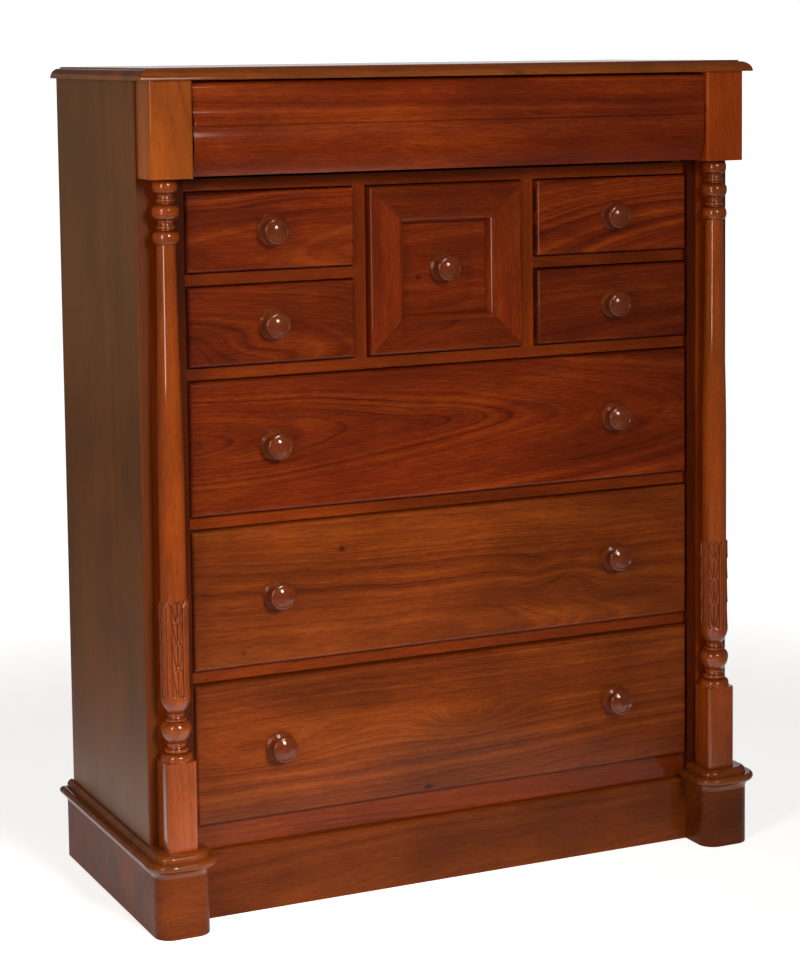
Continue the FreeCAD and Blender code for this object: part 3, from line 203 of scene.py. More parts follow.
def grain_group():
    """The figure of sawn mahogany in board space, in metres from the board's middle.

    X runs along the board. Depth and Across place the heart of the log behind the board, Lean
    is how fast the board runs out of the rings, so that they close into arches, and Swell is
    what knots add to a ring's radius. Ribbon and Stripe say how strong the broad bands along
    the board and across the rings are. Seed moves the board to its own part of the log. Figure
    is the broad colour, Line the dark edge of each ring, Vessel the short dark pores, Cloud
    the slow change of tone and Relief what fibres and pores leave under the varnish.
    """
    group = bpy.data.node_groups.new("mahogany_grain", "ShaderNodeTree")
    sockets = (("INPUT", "NodeSocketVector", ("Vector", "Seed")),
               ("INPUT", "NodeSocketFloat", ("Depth", "Across", "Lean", "Ribbon", "Stripe", "Swell")),
               ("OUTPUT", "NodeSocketFloat", ("Figure", "Line", "Vessel", "Cloud", "Relief")))
    for way, kind, names in sockets:
        for name in names:
            group.interface.new_socket(name, in_out=way, socket_type=kind)
    given = group.nodes.new("NodeGroupInput").outputs
    out = group.nodes.new("NodeGroupOutput")
    split = axes(group, given["Vector"])
    place = vector_sum(group, given["Vector"], given["Seed"])
    sway = noise(group, place, SWAY_STRETCH, 2.0)
    ripple = noise(group, place, RIPPLE_STRETCH, 3.0, 0.6)
    depth = plus(group, given["Depth"], times(group, split[0], given["Lean"]))
    depth = plus(group, depth, swing(group, sway, SWAY_DEPTH))
    depth = plus(group, depth, split[1])
    across = plus(group, split[2], given["Across"])
    across = plus(group, across, swing(group, sway, SWAY_ACROSS))
    squares = plus(group, times(group, depth, depth), times(group, across, across))
    radius = plus(group, calc(group, "SQRT", squares), swing(group, ripple, RIPPLE))
    radius = plus(group, radius, given["Swell"])
    uneven = line_noise(group, times(group, radius, UNEVEN_STRETCH), 1.0)
    rings = plus(group, calc(group, "DIVIDE", radius, RING_PITCH), times(group, uneven, UNEVEN_RINGS))
    phase = calc(group, "FRACT", rings)
    edge = times(group, reach(group, phase, RING_START, RING_EDGE), reach(group, phase, 1.0, RING_EDGE))
    strength = add(group, "ShaderNodeTexWhiteNoise", {"W": calc(group, "FLOOR", rings)},
                   noise_dimensions="1D").outputs[0]
    patch = reach(group, noise(group, place, PATCH_STRETCH, 2.0), *PATCH_FROM, *PATCH_TO)
    line = times(group, edge, times(group, calc(group, "POWER", strength, FAINT_RINGS), patch))
    slow = line_noise(group, times(group, radius, STRIPE_STRETCH), 3.0, 0.65)
    sweep = noise(group, place, SWEEP_STRETCH, 3.0, 0.55, 0.5)
    fibre = noise(group, place, FIBRE_STRETCH, 3.0, 0.75)
    figure = plus(group, 0.5, swing(group, slow, given["Stripe"]))
    figure = plus(group, figure, swing(group, sweep, given["Ribbon"]))
    figure = plus(group, figure, swing(group, fibre, FIBRE))
    vessel = reach(group, noise(group, place, VESSEL_STRETCH, 2.0, 0.6), *VESSEL_FROM)
    cloud = noise(group, place, CLOUD_STRETCH, 3.0, 0.5, 0.3)
    relief = minus(group, times(group, fibre, FIBRE_RELIEF), vessel)
    results = (("Figure", figure), ("Line", line), ("Vessel", vessel), ("Cloud", cloud), ("Relief", relief))
    for name, value in results:
        feed(group, out.inputs[name], value)
    return group


# ---- tints: dark, middle and light of each kind of board ----------------------------------
FRONT = (rgb(0.070, 0.0065, 0.0006), rgb(0.166, 0.0190, 0.0012), rgb(0.33, 0.058, 0.0045))
BROWN_FRONT = (rgb(0.085, 0.0120, 0.0009), rgb(0.186, 0.0335, 0.0030), rgb(0.34, 0.077, 0.008))
RAIL = (rgb(0.10, 0.015, 0.001), rgb(0.190, 0.0275, 0.0020), rgb(0.31, 0.057, 0.006))
UPRIGHT = (rgb(0.12, 0.016, 0.001), rgb(0.24, 0.034, 0.002), rgb(0.38, 0.070, 0.005))
TURNED = (rgb(0.15, 0.024, 0.0015), rgb(0.31, 0.056, 0.0035), rgb(0.47, 0.100, 0.008))
CAPITAL_LEFT = (rgb(0.26, 0.052, 0.005), rgb(0.40, 0.090, 0.010), rgb(0.53, 0.14, 0.018))
CAPITAL_RIGHT = (rgb(0.25, 0.034, 0.002), rgb(0.41, 0.062, 0.003), rgb(0.55, 0.102, 0.006))
SIDE = (rgb(0.125, 0.036, 0.005), rgb(0.185, 0.056, 0.008), rgb(0.255, 0.080, 0.012))
BASE = (rgb(0.09, 0.014, 0.002), rgb(0.18, 0.036, 0.005), rgb(0.29, 0.068, 0.010))
LINING = (rgb(0.14, 0.046, 0.014), rgb(0.21, 0.078, 0.026), rgb(0.30, 0.125, 0.046))
TOP = (rgb(0.16, 0.033, 0.005), rgb(0.28, 0.066, 0.010), rgb(0.41, 0.115, 0.020))
# pairs, dark and light: knobs, the sides' front edge (own wood, partly painted shade) and the linings'
# painted-shade ends
KNOB = (rgb(0.10, 0.016, 0.003), rgb(0.21, 0.040, 0.007))
SIDE_EDGE_WOOD_AND_SHADE = (rgb(0.075, 0.014, 0.001), rgb(0.155, 0.032, 0.002))
LINING_END_SHADE = (rgb(0.06, 0.010, 0.002), rgb(0.06, 0.010, 0.002))
# where the three tints stand along the figure, and what the slow clouds multiply them by
DARK_STOP = 0.12
MIDDLE_STOP = 0.5
LIGHT_STOP = 0.92
CLOUD_FROM = (0.32, 0.68)
CLOUD_DARK = 0.80
CLOUD_LIGHT = 1.17
# how much the posts of a mitred frame are lightened, as painted sheen on their upright grain
POST_PAINTED_SHEEN = 1.30
# what darker marks multiply the wood by
VESSEL_SHARE = 0.6
LINE_SHADE = rgb(0.28, 0.2, 0.2)
VESSEL_SHADE = rgb(0.45, 0.36, 0.36)
HEART_SHADE = rgb(0.25, 0.2, 0.3)
JOINT_SHADE = rgb(0.3, 0.25, 0.25)
# painted shade in the carving's crevices and the turned hollows
HOLLOW_PAINTED_SHADE = rgb(0.20, 0.13, 0.12)
# painted shadow of the columns on the stiles beside them
COLUMN_SHADOW_SHADE = rgb(0.30, 0.28, 0.28)
# varnish, and the fine relief under it
KNOB_COAT = 0.8
FLANGE_COAT = 0.2
ROUGH_FROM = (0.2, 0.8)
ROUGH_TO = (0.42, 0.55)
BUMP = 0.10
BUMP_DEPTH = 0.0004
UNDER_SHINE = 0.05
VARNISH_IOR = 1.5
# places and sizes on the boards, in metres
KNOB_FLANGE = 0.009
FLANGE_FADE = 0.003
# how softly the tinted and painted-shade front edges fade out
EDGE_SHADE_FADE = 0.002
# how softly the painted shadow beside the columns fades out
COLUMN_SHADOW_FADE = 0.004

GRAIN = grain_group()
ALONG = {"x": (0.0, 0.0, 0.0), "z": (0.0, math.radians(90), 0.0)}
HEART_POWER = 3.0
# half of a joint's line, where it starts and where it is full, and what sets members apart
MITRE_LINE = (0.0005, 0.0002)
BAR_NUMBER = 2.7
PLANK_LINE = 0.0012
PLANK_CORE = 0.4
PLANK_NUMBER = 3.1


def hills(tree, place, knots):
    """What knots add to the rings' radius, and how dark their hearts are, as two sockets.

    Each knot is its place along and across the board, its two half sizes, its rise and how
    dark its heart is.
    """
    split = axes(tree, place)
    rise, dark = 0.0, 0.0
    for x, z, half_x, half_z, height, heart in knots:
        u = calc(tree, "DIVIDE", minus(tree, split[0], x), half_x)
        v = calc(tree, "DIVIDE", minus(tree, split[2], z), half_z)
        square = plus(tree, times(tree, u, u), times(tree, v, v))
        bell = calc(tree, "EXPONENT", times(tree, square, -1.0))
        rise = plus(tree, rise, times(tree, bell, height))
        if heart:
            dark = plus(tree, dark, times(tree, calc(tree, "POWER", bell, HEART_POWER), heart))
    return rise, dark


def mitre_switch(tree, place, offset):
    """1 on the posts of a mitred frame and 0 on its bars, the joint's line, and each member's
    own number."""
    split = axes(tree, place)
    beyond = minus(tree, calc(tree, "ABSOLUTE", split[0]), calc(tree, "ABSOLUTE", split[2]))
    beyond = minus(tree, beyond, offset)
    upright = calc(tree, "GREATER_THAN", beyond, 0.0)
    joint = reach(tree, calc(tree, "ABSOLUTE", beyond), *MITRE_LINE)
    post = times(tree, upright, calc(tree, "SIGN", split[0]))
    bar = times(tree, minus(tree, 1.0, upright), calc(tree, "SIGN", split[2]))
    return upright, joint, plus(tree, post, times(tree, bar, BAR_NUMBER))


def plank_switch(tree, place, first, width):
    """The joints' lines of boards that stand side by side, and each board's own number."""
    boards = calc(tree, "DIVIDE", minus(tree, axes(tree, place)[0], first), width)
    middle = calc(tree, "ABSOLUTE", minus(tree, calc(tree, "FRACT", boards), 0.5))
    line = PLANK_LINE / width
    joint = reach(tree, middle, 0.5 - line, 0.5 - PLANK_CORE * line)
    return joint, times(tree, calc(tree, "FLOOR", boards), PLANK_NUMBER)


def sawn(tree, place, middle, along, seed, mitre, planks):
    """A board's own space and its place in the log, then the joints' lines across it and 1 on
    the posts of a frame, each None where it has none."""
    centred = vector_sum(tree, place, tuple(-v for v in middle))
    board = add(tree, "ShaderNodeMapping", {"Vector": centred, "Rotation": ALONG[along]}).outputs[0]
    joint, upright, number = None, None, None
    if planks is not None:
        joint, number = plank_switch(tree, place, *planks)
    if mitre is not None:
        upright, joint, number = mitre_switch(tree, centred, mitre)
        turned = add(tree, "ShaderNodeMapping", {"Vector": centred, "Rotation": ALONG["z"]}).outputs[0]
        inputs = {0: upright, 4: board, 5: turned}
        board = add(tree, "ShaderNodeMix", inputs, data_type="VECTOR").outputs[1]
    if number is not None:
        seed = vector_sum(tree, add(tree, "ShaderNodeCombineXYZ", {0: number}).outputs[0], seed)
    return board, seed, joint, upright


def wood(name, tints, middle, seed, depth, across, lean, along="x", ribbon=1.0, stripe=0.4, line=0.55,
         coat=0.6, coat_rough=0.08, groove=None, tone=1.0, knots=(), mitre=None, planks=None,
         knob_face=None, stain=None, column_shadow_from=None):
    """Varnished mahogany on a board round middle, grained along one axis.

    seed, depth, across and lean say where in the log the board lies, and ribbon, stripe, line
    and knots how strong its figure is, as in grain_group and hills. tone lightens it all.
    mitre turns the grain on the posts of a frame and lightens the posts as painted sheen, and
    planks is the first joint and the width of boards that stand side by side. groove is the
    attribute that marks hollows, which are darkened as painted shade. Whatever lies in front of
    knob_face is turned work: the knobs, which have their own colour and more gloss. Ahead of
    stain's first value the board is tinted between its other two: a lining's
    front end is darkened as painted shade, and a side's front edge gets its own wood colour,
    darkened partly as painted shade. Nearer the chest's middle than column_shadow_from the wood
    is darkened as the painted shadow of a column, in the corner beside it.
    """
    dark, mid, light = tints
    material = bpy.data.materials.new(name)
    material.use_nodes = True
    tree = material.node_tree
    shader = tree.nodes["Principled BSDF"].inputs
    place = add(tree, "ShaderNodeTexCoord").outputs["Object"]
    split = axes(tree, place)
    board, spot, joint, upright = sawn(tree, place, middle, along, seed, mitre, planks)
    swell, heart = hills(tree, board, knots)
    inputs = {"Vector": board, "Seed": spot, "Depth": depth, "Across": across, "Lean": lean,
              "Ribbon": ribbon, "Stripe": stripe, "Swell": swell}
    grain = add(tree, "ShaderNodeGroup", inputs, node_tree=GRAIN).outputs
    ramp = add(tree, "ShaderNodeValToRGB", {"Fac": grain["Figure"]})
    stops = ramp.color_ramp.elements
    stops[0].position, stops[0].color = DARK_STOP, dark
    stops[1].position, stops[1].color = LIGHT_STOP, light
    stops.new(MIDDLE_STOP).color = mid
    cloud = reach(tree, grain["Cloud"], *CLOUD_FROM, CLOUD_DARK * tone, CLOUD_LIGHT * tone)
    colour = blend_colour(tree, 1.0, ramp.outputs[0], cloud, "MULTIPLY")
    colour = darken(tree, colour, times(tree, grain["Line"], line), LINE_SHADE)
    colour = darken(tree, colour, times(tree, grain["Vessel"], VESSEL_SHARE), VESSEL_SHADE)
    if any(knot[-1] for knot in knots):
        colour = darken(tree, colour, heart, HEART_SHADE)
    # painted sheen: the frame's posts are lightened as their upright grain catches the light
    if upright is not None:
        post_sheen = reach(tree, upright, 0.0, 1.0, 1.0, POST_PAINTED_SHEEN, False)
        colour = blend_colour(tree, 1.0, colour, post_sheen, "MULTIPLY")
    if joint is not None:
        colour = darken(tree, colour, joint, JOINT_SHADE)
    # painted shade in the hollows that the groove attribute marks
    if groove is not None:
        hollow = add(tree, "ShaderNodeAttribute", attribute_name=groove).outputs["Fac"]
        colour = darken(tree, colour, hollow, HOLLOW_PAINTED_SHADE)
    gloss = coat
    if knob_face is not None:
        knob = calc(tree, "LESS_THAN", split[1], knob_face)
        flange = knob_face - KNOB_FLANGE
        colour = blend_colour(tree, knob, colour, blend_colour(tree, grain["Figure"], *KNOB))
        gloss = plus(tree, reach(tree, knob, 0.0, 1.0, coat, FLANGE_COAT, False),
                     reach(tree, split[1], flange, flange - FLANGE_FADE, 0.0, KNOB_COAT - FLANGE_COAT))
    # painted shadow: the stile is darkened near the drawers, where the column's shade falls
    if column_shadow_from is not None:
        shaded = reach(tree, calc(tree, "ABSOLUTE", split[0]), column_shadow_from, column_shadow_from - COLUMN_SHADOW_FADE)
        colour = darken(tree, colour, shaded, COLUMN_SHADOW_SHADE)
    # painted shade on the linings' front ends; the sides' front edge in its own wood colour, darkened
    # partly as painted shade
    if stain is not None:
        edge, deep, pale = stain
        stained = reach(tree, split[1], edge + EDGE_SHADE_FADE, edge)
        colour = blend_colour(tree, stained, colour, blend_colour(tree, grain["Figure"], deep, pale))
    rough = reach(tree, grain["Cloud"], *ROUGH_FROM, *ROUGH_TO, False)
    inputs = {"Height": grain["Relief"], "Strength": BUMP, "Distance": BUMP_DEPTH}
    bump = add(tree, "ShaderNodeBump", inputs).outputs[0]
    values = {"Base Color": colour, "Roughness": rough, "Normal": bump, "Specular IOR Level": UNDER_SHINE,
              "Coat Weight": gloss, "Coat Roughness": coat_rough, "Coat IOR": VARNISH_IOR}
    for socket, value in values.items():
        feed(tree, shader[socket], value)
    return material


def give(node, material):
    """One material for every slot of a CAD node."""
    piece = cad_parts[node]
    if not piece.material_slots:
        piece.data.materials.append(material)
    for place in piece.material_slots:
        place.link = "OBJECT"
        place.material = material


# ---- which node has which look, in metres --------------------------------------------------
BACK_BOARDS = 6
BACK_LAP = 0.008
FRONT_DEPTH = 0.020
# nearer the middle than this, the stiles get the painted shadow of the columns
STILE_SHADOW_FROM = 0.501
FRONT_FACE = -0.1738
PANEL_FACE = -0.1548
MITRE_OFFSET = 0.00175
# the part of the log that a board may come from
LOG_PLACES = (9.0, 5.0, 5.0)
HEART_BEHIND = (0.05, 0.06)
HEART_ASIDE = 0.2
HEART_LEAN = 0.16
SEED_START = 7
SEED_STEP = 131
SEED_WRAP = 1000003
SEED_FACTORS = (17, 71, 193)
SEED_RANGE = 9973

LOOKS = {
    "top": dict(tints=TOP),
    "side": dict(tints=SIDE, along="z", ribbon=0.5, line=0.3, coat=0.45, coat_rough=0.34),
    "upright": dict(tints=UPRIGHT, along="z", ribbon=0.8, coat=0.3),
    "turned": dict(tints=TURNED, along="z", ribbon=0.5, line=0.15, coat=1.0, coat_rough=0.06,
                   groove="hollow"),
    "capital": dict(tints=CAPITAL_LEFT, along="z", ribbon=0.6, line=0.3),
    "plinth": dict(tints=BASE, coat=0.12, tone=0.88),
    "moulding": dict(tints=BASE),
    "rail": dict(tints=RAIL, ribbon=0.8, coat=0.3),
    "front": dict(tints=FRONT, coat=0.45, knob_face=FRONT_FACE),
    "lining": dict(tints=LINING, coat=0.1, coat_rough=0.4),
    "carcass": dict(tints=LINING, coat=0.05, coat_rough=0.4),
}
LOOK_STARTS = (("top_board", "top"), ("side_", "side"), ("stile", "upright"), ("dividers", "upright"),
               ("column", "turned"), ("capital", "capital"), ("plinth_cap", "moulding"),
               ("plinth_", "plinth"), ("corner_block", "plinth"), ("drawer_guides", "carcass"),
               ("drawer_stops", "carcass"))
BOARDS = {
    # the stiles get a painted shadow beside the columns
    "stile_left": dict(column_shadow_from=STILE_SHADOW_FROM),
    "stile_right": dict(column_shadow_from=STILE_SHADOW_FROM),
    "capital_right": dict(tints=CAPITAL_RIGHT),
    "drawer_frieze_front": dict(knob_face=None, tone=1.30, coat=0.5),
    "drawer_frieze_moulding": dict(knob_face=None, tone=1.30, coat=0.5, depth=0.11, across=0.08,
                                   lean=0.02),
    "drawer_centre_frame": dict(knob_face=None, tone=0.85, mitre=MITRE_OFFSET, depth=0.07, across=0.10,
                                lean=0.05, line=0.7),
    "drawer_centre_moulding": dict(knob_face=None, mitre=MITRE_OFFSET),
    "drawer_centre_panel": dict(knob_face=PANEL_FACE, depth=0.07, across=-0.09, lean=0.03, line=0.7,
                                knots=((-0.049, -0.0155, 0.010, 0.007, 0.008, 0.9),
                                       (0.06, -0.05, 0.05, 0.02, 0.012, 0.0))),
    "drawer_upper_left_front": dict(depth=0.10, across=0.04, lean=-0.05, ribbon=1.5, stripe=1.1, line=0.5,
                                    tone=1.08),
    "drawer_upper_right_front": dict(depth=0.10, across=0.14, lean=-0.22, ribbon=0.6, stripe=0.95,
                                     line=1.0, tone=1.08),
    "drawer_lower_left_front": dict(depth=0.06, across=0.05, lean=0.16, stripe=0.8, line=0.9, tone=0.97,
                                    knots=((-0.05, -0.035, 0.09, 0.022, 0.016, 0.0),)),
    "drawer_lower_right_front": dict(depth=0.13, across=0.10, lean=-0.06, ribbon=0.7, line=0.6,
                                     tone=0.75),
    "drawer_long_1_front": dict(depth=0.068, across=-0.012, lean=0.105, ribbon=0.9, stripe=0.65, line=1.0,
                                knots=((0.04, 0.014, 0.20, 0.03, -0.012, 0.0),)),
    "drawer_long_2_front": dict(tints=BROWN_FRONT, depth=0.11, across=0.10, lean=0.03, ribbon=0.9,
                                stripe=0.65, line=0.8,
                                knots=((-0.2077, 0.0662, 0.011, 0.008, 0.008, 1.0),
                                       (0.16, 0.003, 0.035, 0.018, 0.012, 0.0),
                                       (0.236, -0.032, 0.05, 0.02, -0.012, 0.0),
                                       (-0.39, -0.094, 0.008, 0.006, 0.006, 0.6))),
    "drawer_long_3_front": dict(tints=BROWN_FRONT, coat=0.35, depth=0.10, across=0.16, lean=-0.01,
                                ribbon=0.9, stripe=0.65, line=0.8,
                                knots=((-0.38, -0.002, 0.13, 0.030, 0.042, 0.0),
                                       (0.02, 0.002, 0.09, 0.026, 0.030, 0.0),
                                       (-0.0486, -0.110, 0.012, 0.007, 0.008, 1.0))),
}


def seeded(text):
    """Three steady numbers from 0 to 1 for a name."""
    total = SEED_START
    for letter in text:
        total = (total * SEED_STEP + ord(letter)) % SEED_WRAP
    return [(total * factor % SEED_RANGE) / SEED_RANGE for factor in SEED_FACTORS]


def look_of(node):
    """Which of LOOKS a node has, from its name."""
    for start, look in LOOK_STARTS:
        if node.startswith(start):
            return look
    if node.endswith("_box"):
        return "lining"
    if node.startswith("drawer_"):
        return "front"
    if node.endswith(("rail", "rails")):
        return "rail"
    return "carcass"


def board_of(node):
    """The look of a node's wood: its middle, and its own place in the log."""
    a, b, c = seeded(node)
    low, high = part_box(node)
    choice = dict(LOOKS[look_of(node)])
    choice.update(middle=tuple((low[k] + high[k]) / 2.0 for k in range(3)),
                  seed=tuple(share * length for share, length in zip((a, b, c), LOG_PLACES)),
                  depth=HEART_BEHIND[0] + HEART_BEHIND[1] * b, across=(a - 0.5) * HEART_ASIDE,
                  lean=(c - 0.5) * HEART_LEAN)
    # linings' front ends get painted shade, and the sides' front edge its own tint darkened partly as
    # painted shade
    if node.endswith("_box"):
        choice["stain"] = (low[1] + FRONT_DEPTH, *LINING_END_SHADE)
    if node.startswith("side_"):
        choice["stain"] = (low[1], *SIDE_EDGE_WOOD_AND_SHADE)
    if node == "back_boards":
        choice.update(along="z", planks=(low[0] - BACK_LAP, (high[0] - low[0]) / BACK_BOARDS))
    choice.update(BOARDS.get(node, {}))
    return choice


# ---- turned and carved columns, in millimetres -------------------------------------------
MM = 0.001
COLUMN_X = 522.4
COLUMN_Y = -199.5
ROUND_STEPS = 96
CARVED_STEPS = 288
BLOCK_LOW = 142.0
BLOCK_TOP = 292.0
BLOCK_HALF = 27.0
BLOCK_ARRIS = 7.0
BLOCK_EASE = 0.8
BLOCK_STEPS = 8
CAPITAL_LOW = 1257.5
CARVING_LOW = 395.5
CARVING_TOP = 565.0
GROUND_RADIUS = 22.6
PLAIN_RADIUS = 25.0
NECK_RADIUS = 21.6
SPREAD_RADIUS = 24.5
CARVED_SECTOR = math.pi / 4.0
# how crevices and valleys are measured, to set where shade is painted
CREVICE_REACH = 1.5
CREVICE_DEPTH = 0.45
VALLEY_REACH = 2.6
VALLEY_DEPTH = 2.6
VALLEY_SHARE = 0.62
LEAF_LOW = 401.0
LEAF_SHOULDER = 546.0
LEAF_TIP = 563.0
LEAF_HALF = 9.0
LEAF_LEVEL = 2.35
LEAF_CURL = 0.75
CURL_LOW = 520.0
VEIN_FADE = 548.0
VEIN_TOP = 556.0
VEIN_HALF = 0.85
VEIN_DEPTH = 1.25
HOLLOW_ASIDE = 4.4
HOLLOW_HALF = 1.9
HOLLOW_DEPTH = 0.75
HUSKS = ((562.0, 31.0), (531.0, 38.0), (493.0, 44.0), (449.0, 46.0))
HUSK_HALF = 8.2
HUSK_POINT = 1.12
HUSK_GROOVE = 1.55
SHARP_ANGLE = math.radians(38)
TURN_LEFT = math.radians(4.7)
TURN_RIGHT = math.radians(31.8)


def smooth(low, high, value):
    """0 below low and 1 above high, with an easy rise between them."""
    t = min(1.0, max(0.0, (value - low) / (high - low)))
    return t * t * (3.0 - 2.0 * t)


class Outline:
    """Half outline of a turned member as (radius, height) points, drawn upwards."""

    def __init__(self, radius, height):
        self.points = [(radius, height)]

    def go(self, radius, rise):
        """Straight line to a new radius."""
        self.points.append((radius, self.points[-1][1] + rise))

    def curve(self, radius, rise, swell, steps=12):
        """Arc to a new radius that stands out from its chord by swell, or sinks in."""
        r0, z0 = self.points[-1]
        length = math.hypot(radius - r0, rise)
        across, up = rise / length, -(radius - r0) / length
        for k in range(1, steps + 1):
            t = k / steps
            out = 4.0 * swell * t * (1.0 - t)
            self.points.append((r0 + (radius - r0) * t + across * out, z0 + rise * t + up * out))

    def bead(self, rise, swell, steps=10):
        """Round bead: half an ellipse."""
        r0, z0 = self.points[-1]
        for k in range(1, steps + 1):
            a = math.pi * k / steps
            self.points.append((r0 + swell * math.sin(a), z0 + rise * (1.0 - math.cos(a)) / 2.0))


def foot_outline():
    """From the square block to the bulb: rim, bell, ring, ball, collar and bulb."""
    t = Outline(26.6, BLOCK_TOP - 0.5)
    t.curve(26.6, 2.5, 0.5, 6)
    t.curve(18.5, 12.0, 3.2)
    t.bead(7.0, 1.8)
    t.go(17.4, 0.0)
    t.curve(16.0, 6.0, -0.9)
    t.bead(2.5, 1.4)
    t.go(16.0, 1.5)
    t.curve(25.9, 23.0, 2.4, 16)
    t.curve(17.5, 13.5, 2.4, 12)
    t.bead(3.5, 1.3)
    t.curve(14.2, 5.5, -0.9)
    t.bead(2.5, 1.3)
    t.go(14.2, 1.5)
    t.curve(25.0, 23.5, 2.1, 16)
    t.go(25.0, 1.2)
    return t.points


def shaft_outline():
    """The shaft from behind the leaf tips up to the throat."""
    return [(22.0, 556.0), (22.0, 772.0), (21.2, 830.0), (17.5, 1000.5), (15.9, 1151.0)]


def head_outline():
    """Torus, beads, ball, beads and a second torus under the capital block."""
    t = Outline(15.9, 1149.5)
    t.curve(17.0, 2.0, -0.3, 4)
    t.bead(20.5, 4.9, 18)
    t.go(15.2, 0.6)
    t.curve(13.8, 3.0, -0.5, 6)
    t.bead(6.0, 2.2)
    t.go(13.6, 0.8)
    t.curve(14.6, 6.0, -0.9)
    t.bead(2.2, 0.9)
    t.curve(22.2, 13.0, 2.6, 14)
    t.curve(16.0, 12.0, 2.6, 12)
    t.go(14.6, 0.4)
    t.curve(13.4, 3.5, -0.5, 6)
    t.bead(6.0, 2.2)
    t.go(13.4, 0.8)
    t.curve(15.6, 8.0, -1.6)
    t.go(16.4, 0.6)
    t.bead(20.5, 4.8, 18)
    t.go(18.4, CAPITAL_LOW - t.points[-1][1])
    return t.points


def leaf_relief(across, height):
    """Long leaf with a rounded tip, a midrib groove and a hollow each side of it."""
    if height > LEAF_SHOULDER:
        rise = (height - LEAF_SHOULDER) / (LEAF_TIP - LEAF_SHOULDER)
        half = LEAF_HALF * math.sqrt(max(0.0, 1.0 - rise * rise))
    else:
        half = LEAF_HALF
    body = smooth(0.0, 1.7, half - abs(across))
    curl = smooth(CURL_LOW, LEAF_TIP, height)
    level = LEAF_LEVEL + LEAF_CURL * curl
    vein = math.exp(-(across / VEIN_HALF) ** 2) * smooth(LEAF_LOW, LEAF_LOW + 8.0, height)
    vein *= 1.0 - smooth(VEIN_FADE, VEIN_TOP, height)
    hollow = math.exp(-((abs(across) - HOLLOW_ASIDE) / HOLLOW_HALF) ** 2)
    hollow *= smooth(LEAF_LOW + 2.0, LEAF_LOW + 26.0, height)
    return body * level - VEIN_DEPTH * vein - HOLLOW_DEPTH * hollow * (1.0 - 0.6 * curl)


def husk_relief(across, height):
    """String of pointed husks, each tucked under the point of the one above it."""
    relief = 0.0
    for number, (top, length) in enumerate(HUSKS):
        # two lobes with a notch between them, on sides that draw in to a point
        lobe = top - 3.2 * (abs(across) / 6.5) ** 2 - 2.0 * math.exp(-(across / 1.1) ** 2)
        down = (top - height) / length
        if down > HUSK_POINT:
            continue
        fall = max(0.0, min(1.0, down / HUSK_POINT))
        half = HUSK_HALF * (1.0 - fall ** 1.7) + 0.4
        inside = min(half - abs(across), (lobe - height) * 1.1)
        body = smooth(0.0, 1.3, inside)
        # each point stands out over the next husk, and the first starts high
        level = 1.15 + 1.25 * fall if number else 2.0 + 0.6 * fall
        # the husk is split down its middle, widest halfway
        gap = 0.75 + 1.35 * math.sin(math.pi * min(1.0, max(0.0, (down - 0.08) / 0.9)))
        groove = math.exp(-(across / gap) ** 2) * smooth(0.02, 0.14, down)
        groove *= 1.0 - smooth(0.86, 1.0, down)
        relief = max(relief, body * level - HUSK_GROOVE * groove * body)
    return relief


def carved_radius(turn, height):
    """Radius of the carved stretch: four leaves and four strings of husks in turn."""
    number = math.floor(turn / CARVED_SECTOR + 0.5)
    across = (turn - number * CARVED_SECTOR) * SPREAD_RADIUS
    relief = leaf_relief(across, height) if number % 2 else husk_relief(across, height)
    carved = GROUND_RADIUS + relief
    foot = 1.0 - smooth(LEAF_LOW - 3.0, LEAF_LOW + 5.0 - 4.0 * (abs(across) / 9.8) ** 2, height)
    return carved + (PLAIN_RADIUS - carved) * foot


def crevice(turn, height):
    """How far a point of the carving lies below what surrounds it, from 0 to 1."""
    step = CREVICE_REACH / GROUND_RADIUS
    beside = (carved_radius(turn + step, height), carved_radius(turn - step, height),
              carved_radius(turn, height + CREVICE_REACH), carved_radius(turn, height - CREVICE_REACH))
    below = sum(beside) / len(beside) - carved_radius(turn, height)
    return min(1.0, max(0.0, below / CREVICE_DEPTH))


def valley(outline, radius, height):
    """How far a turned stretch lies in the hollow between larger ones, for painted shade there."""
    nearby = max(r for r, z in outline if abs(z - height) <= VALLEY_REACH)
    return VALLEY_SHARE * min(1.0, (nearby - radius) / VALLEY_DEPTH)


def skin(bm, rings):
    """A closed skin over rings of as many points, from the lowest up."""
    for low, high in zip(rings, rings[1:]):
        for k in range(len(low)):
            nxt = (k + 1) % len(low)
            bm.faces.new((low[k], low[nxt], high[nxt], high[k]))
    bm.faces.new(list(reversed(rings[0])))
    bm.faces.new(rings[-1])


def add_lathe(bm, outline, hollow):
    """A closed turned solid from its half outline; hollow marks its valleys."""
    rings = []
    for radius, height in outline:
        ring = []
        for k in range(ROUND_STEPS):
            turn = 2 * math.pi * k / ROUND_STEPS
            vert = bm.verts.new((radius * math.cos(turn), radius * math.sin(turn), height))
            vert[hollow] = valley(outline, radius, height)
            ring.append(vert)
        rings.append(ring)
    skin(bm, rings)


def add_carving(bm, turned_by, hollow):
    """The carved stretch as a fine skin; hollow marks its crevices."""
    rings = []
    rows = int(CARVING_TOP - CARVING_LOW)
    for row in range(rows + 1):
        height = CARVING_LOW + (CARVING_TOP - CARVING_LOW) * row / rows
        ring = []
        for k in range(CARVED_STEPS):
            turn = 2 * math.pi * k / CARVED_STEPS
            radius = carved_radius(turn + turned_by, height)
            if height > LEAF_TIP:
                radius = NECK_RADIUS
            vert = bm.verts.new((radius * math.cos(turn), radius * math.sin(turn), height))
            vert[hollow] = crevice(turn + turned_by, height) if height < LEAF_TIP - 1.5 else 0.0
            ring.append(vert)
        rings.append(ring)
    skin(bm, rings)


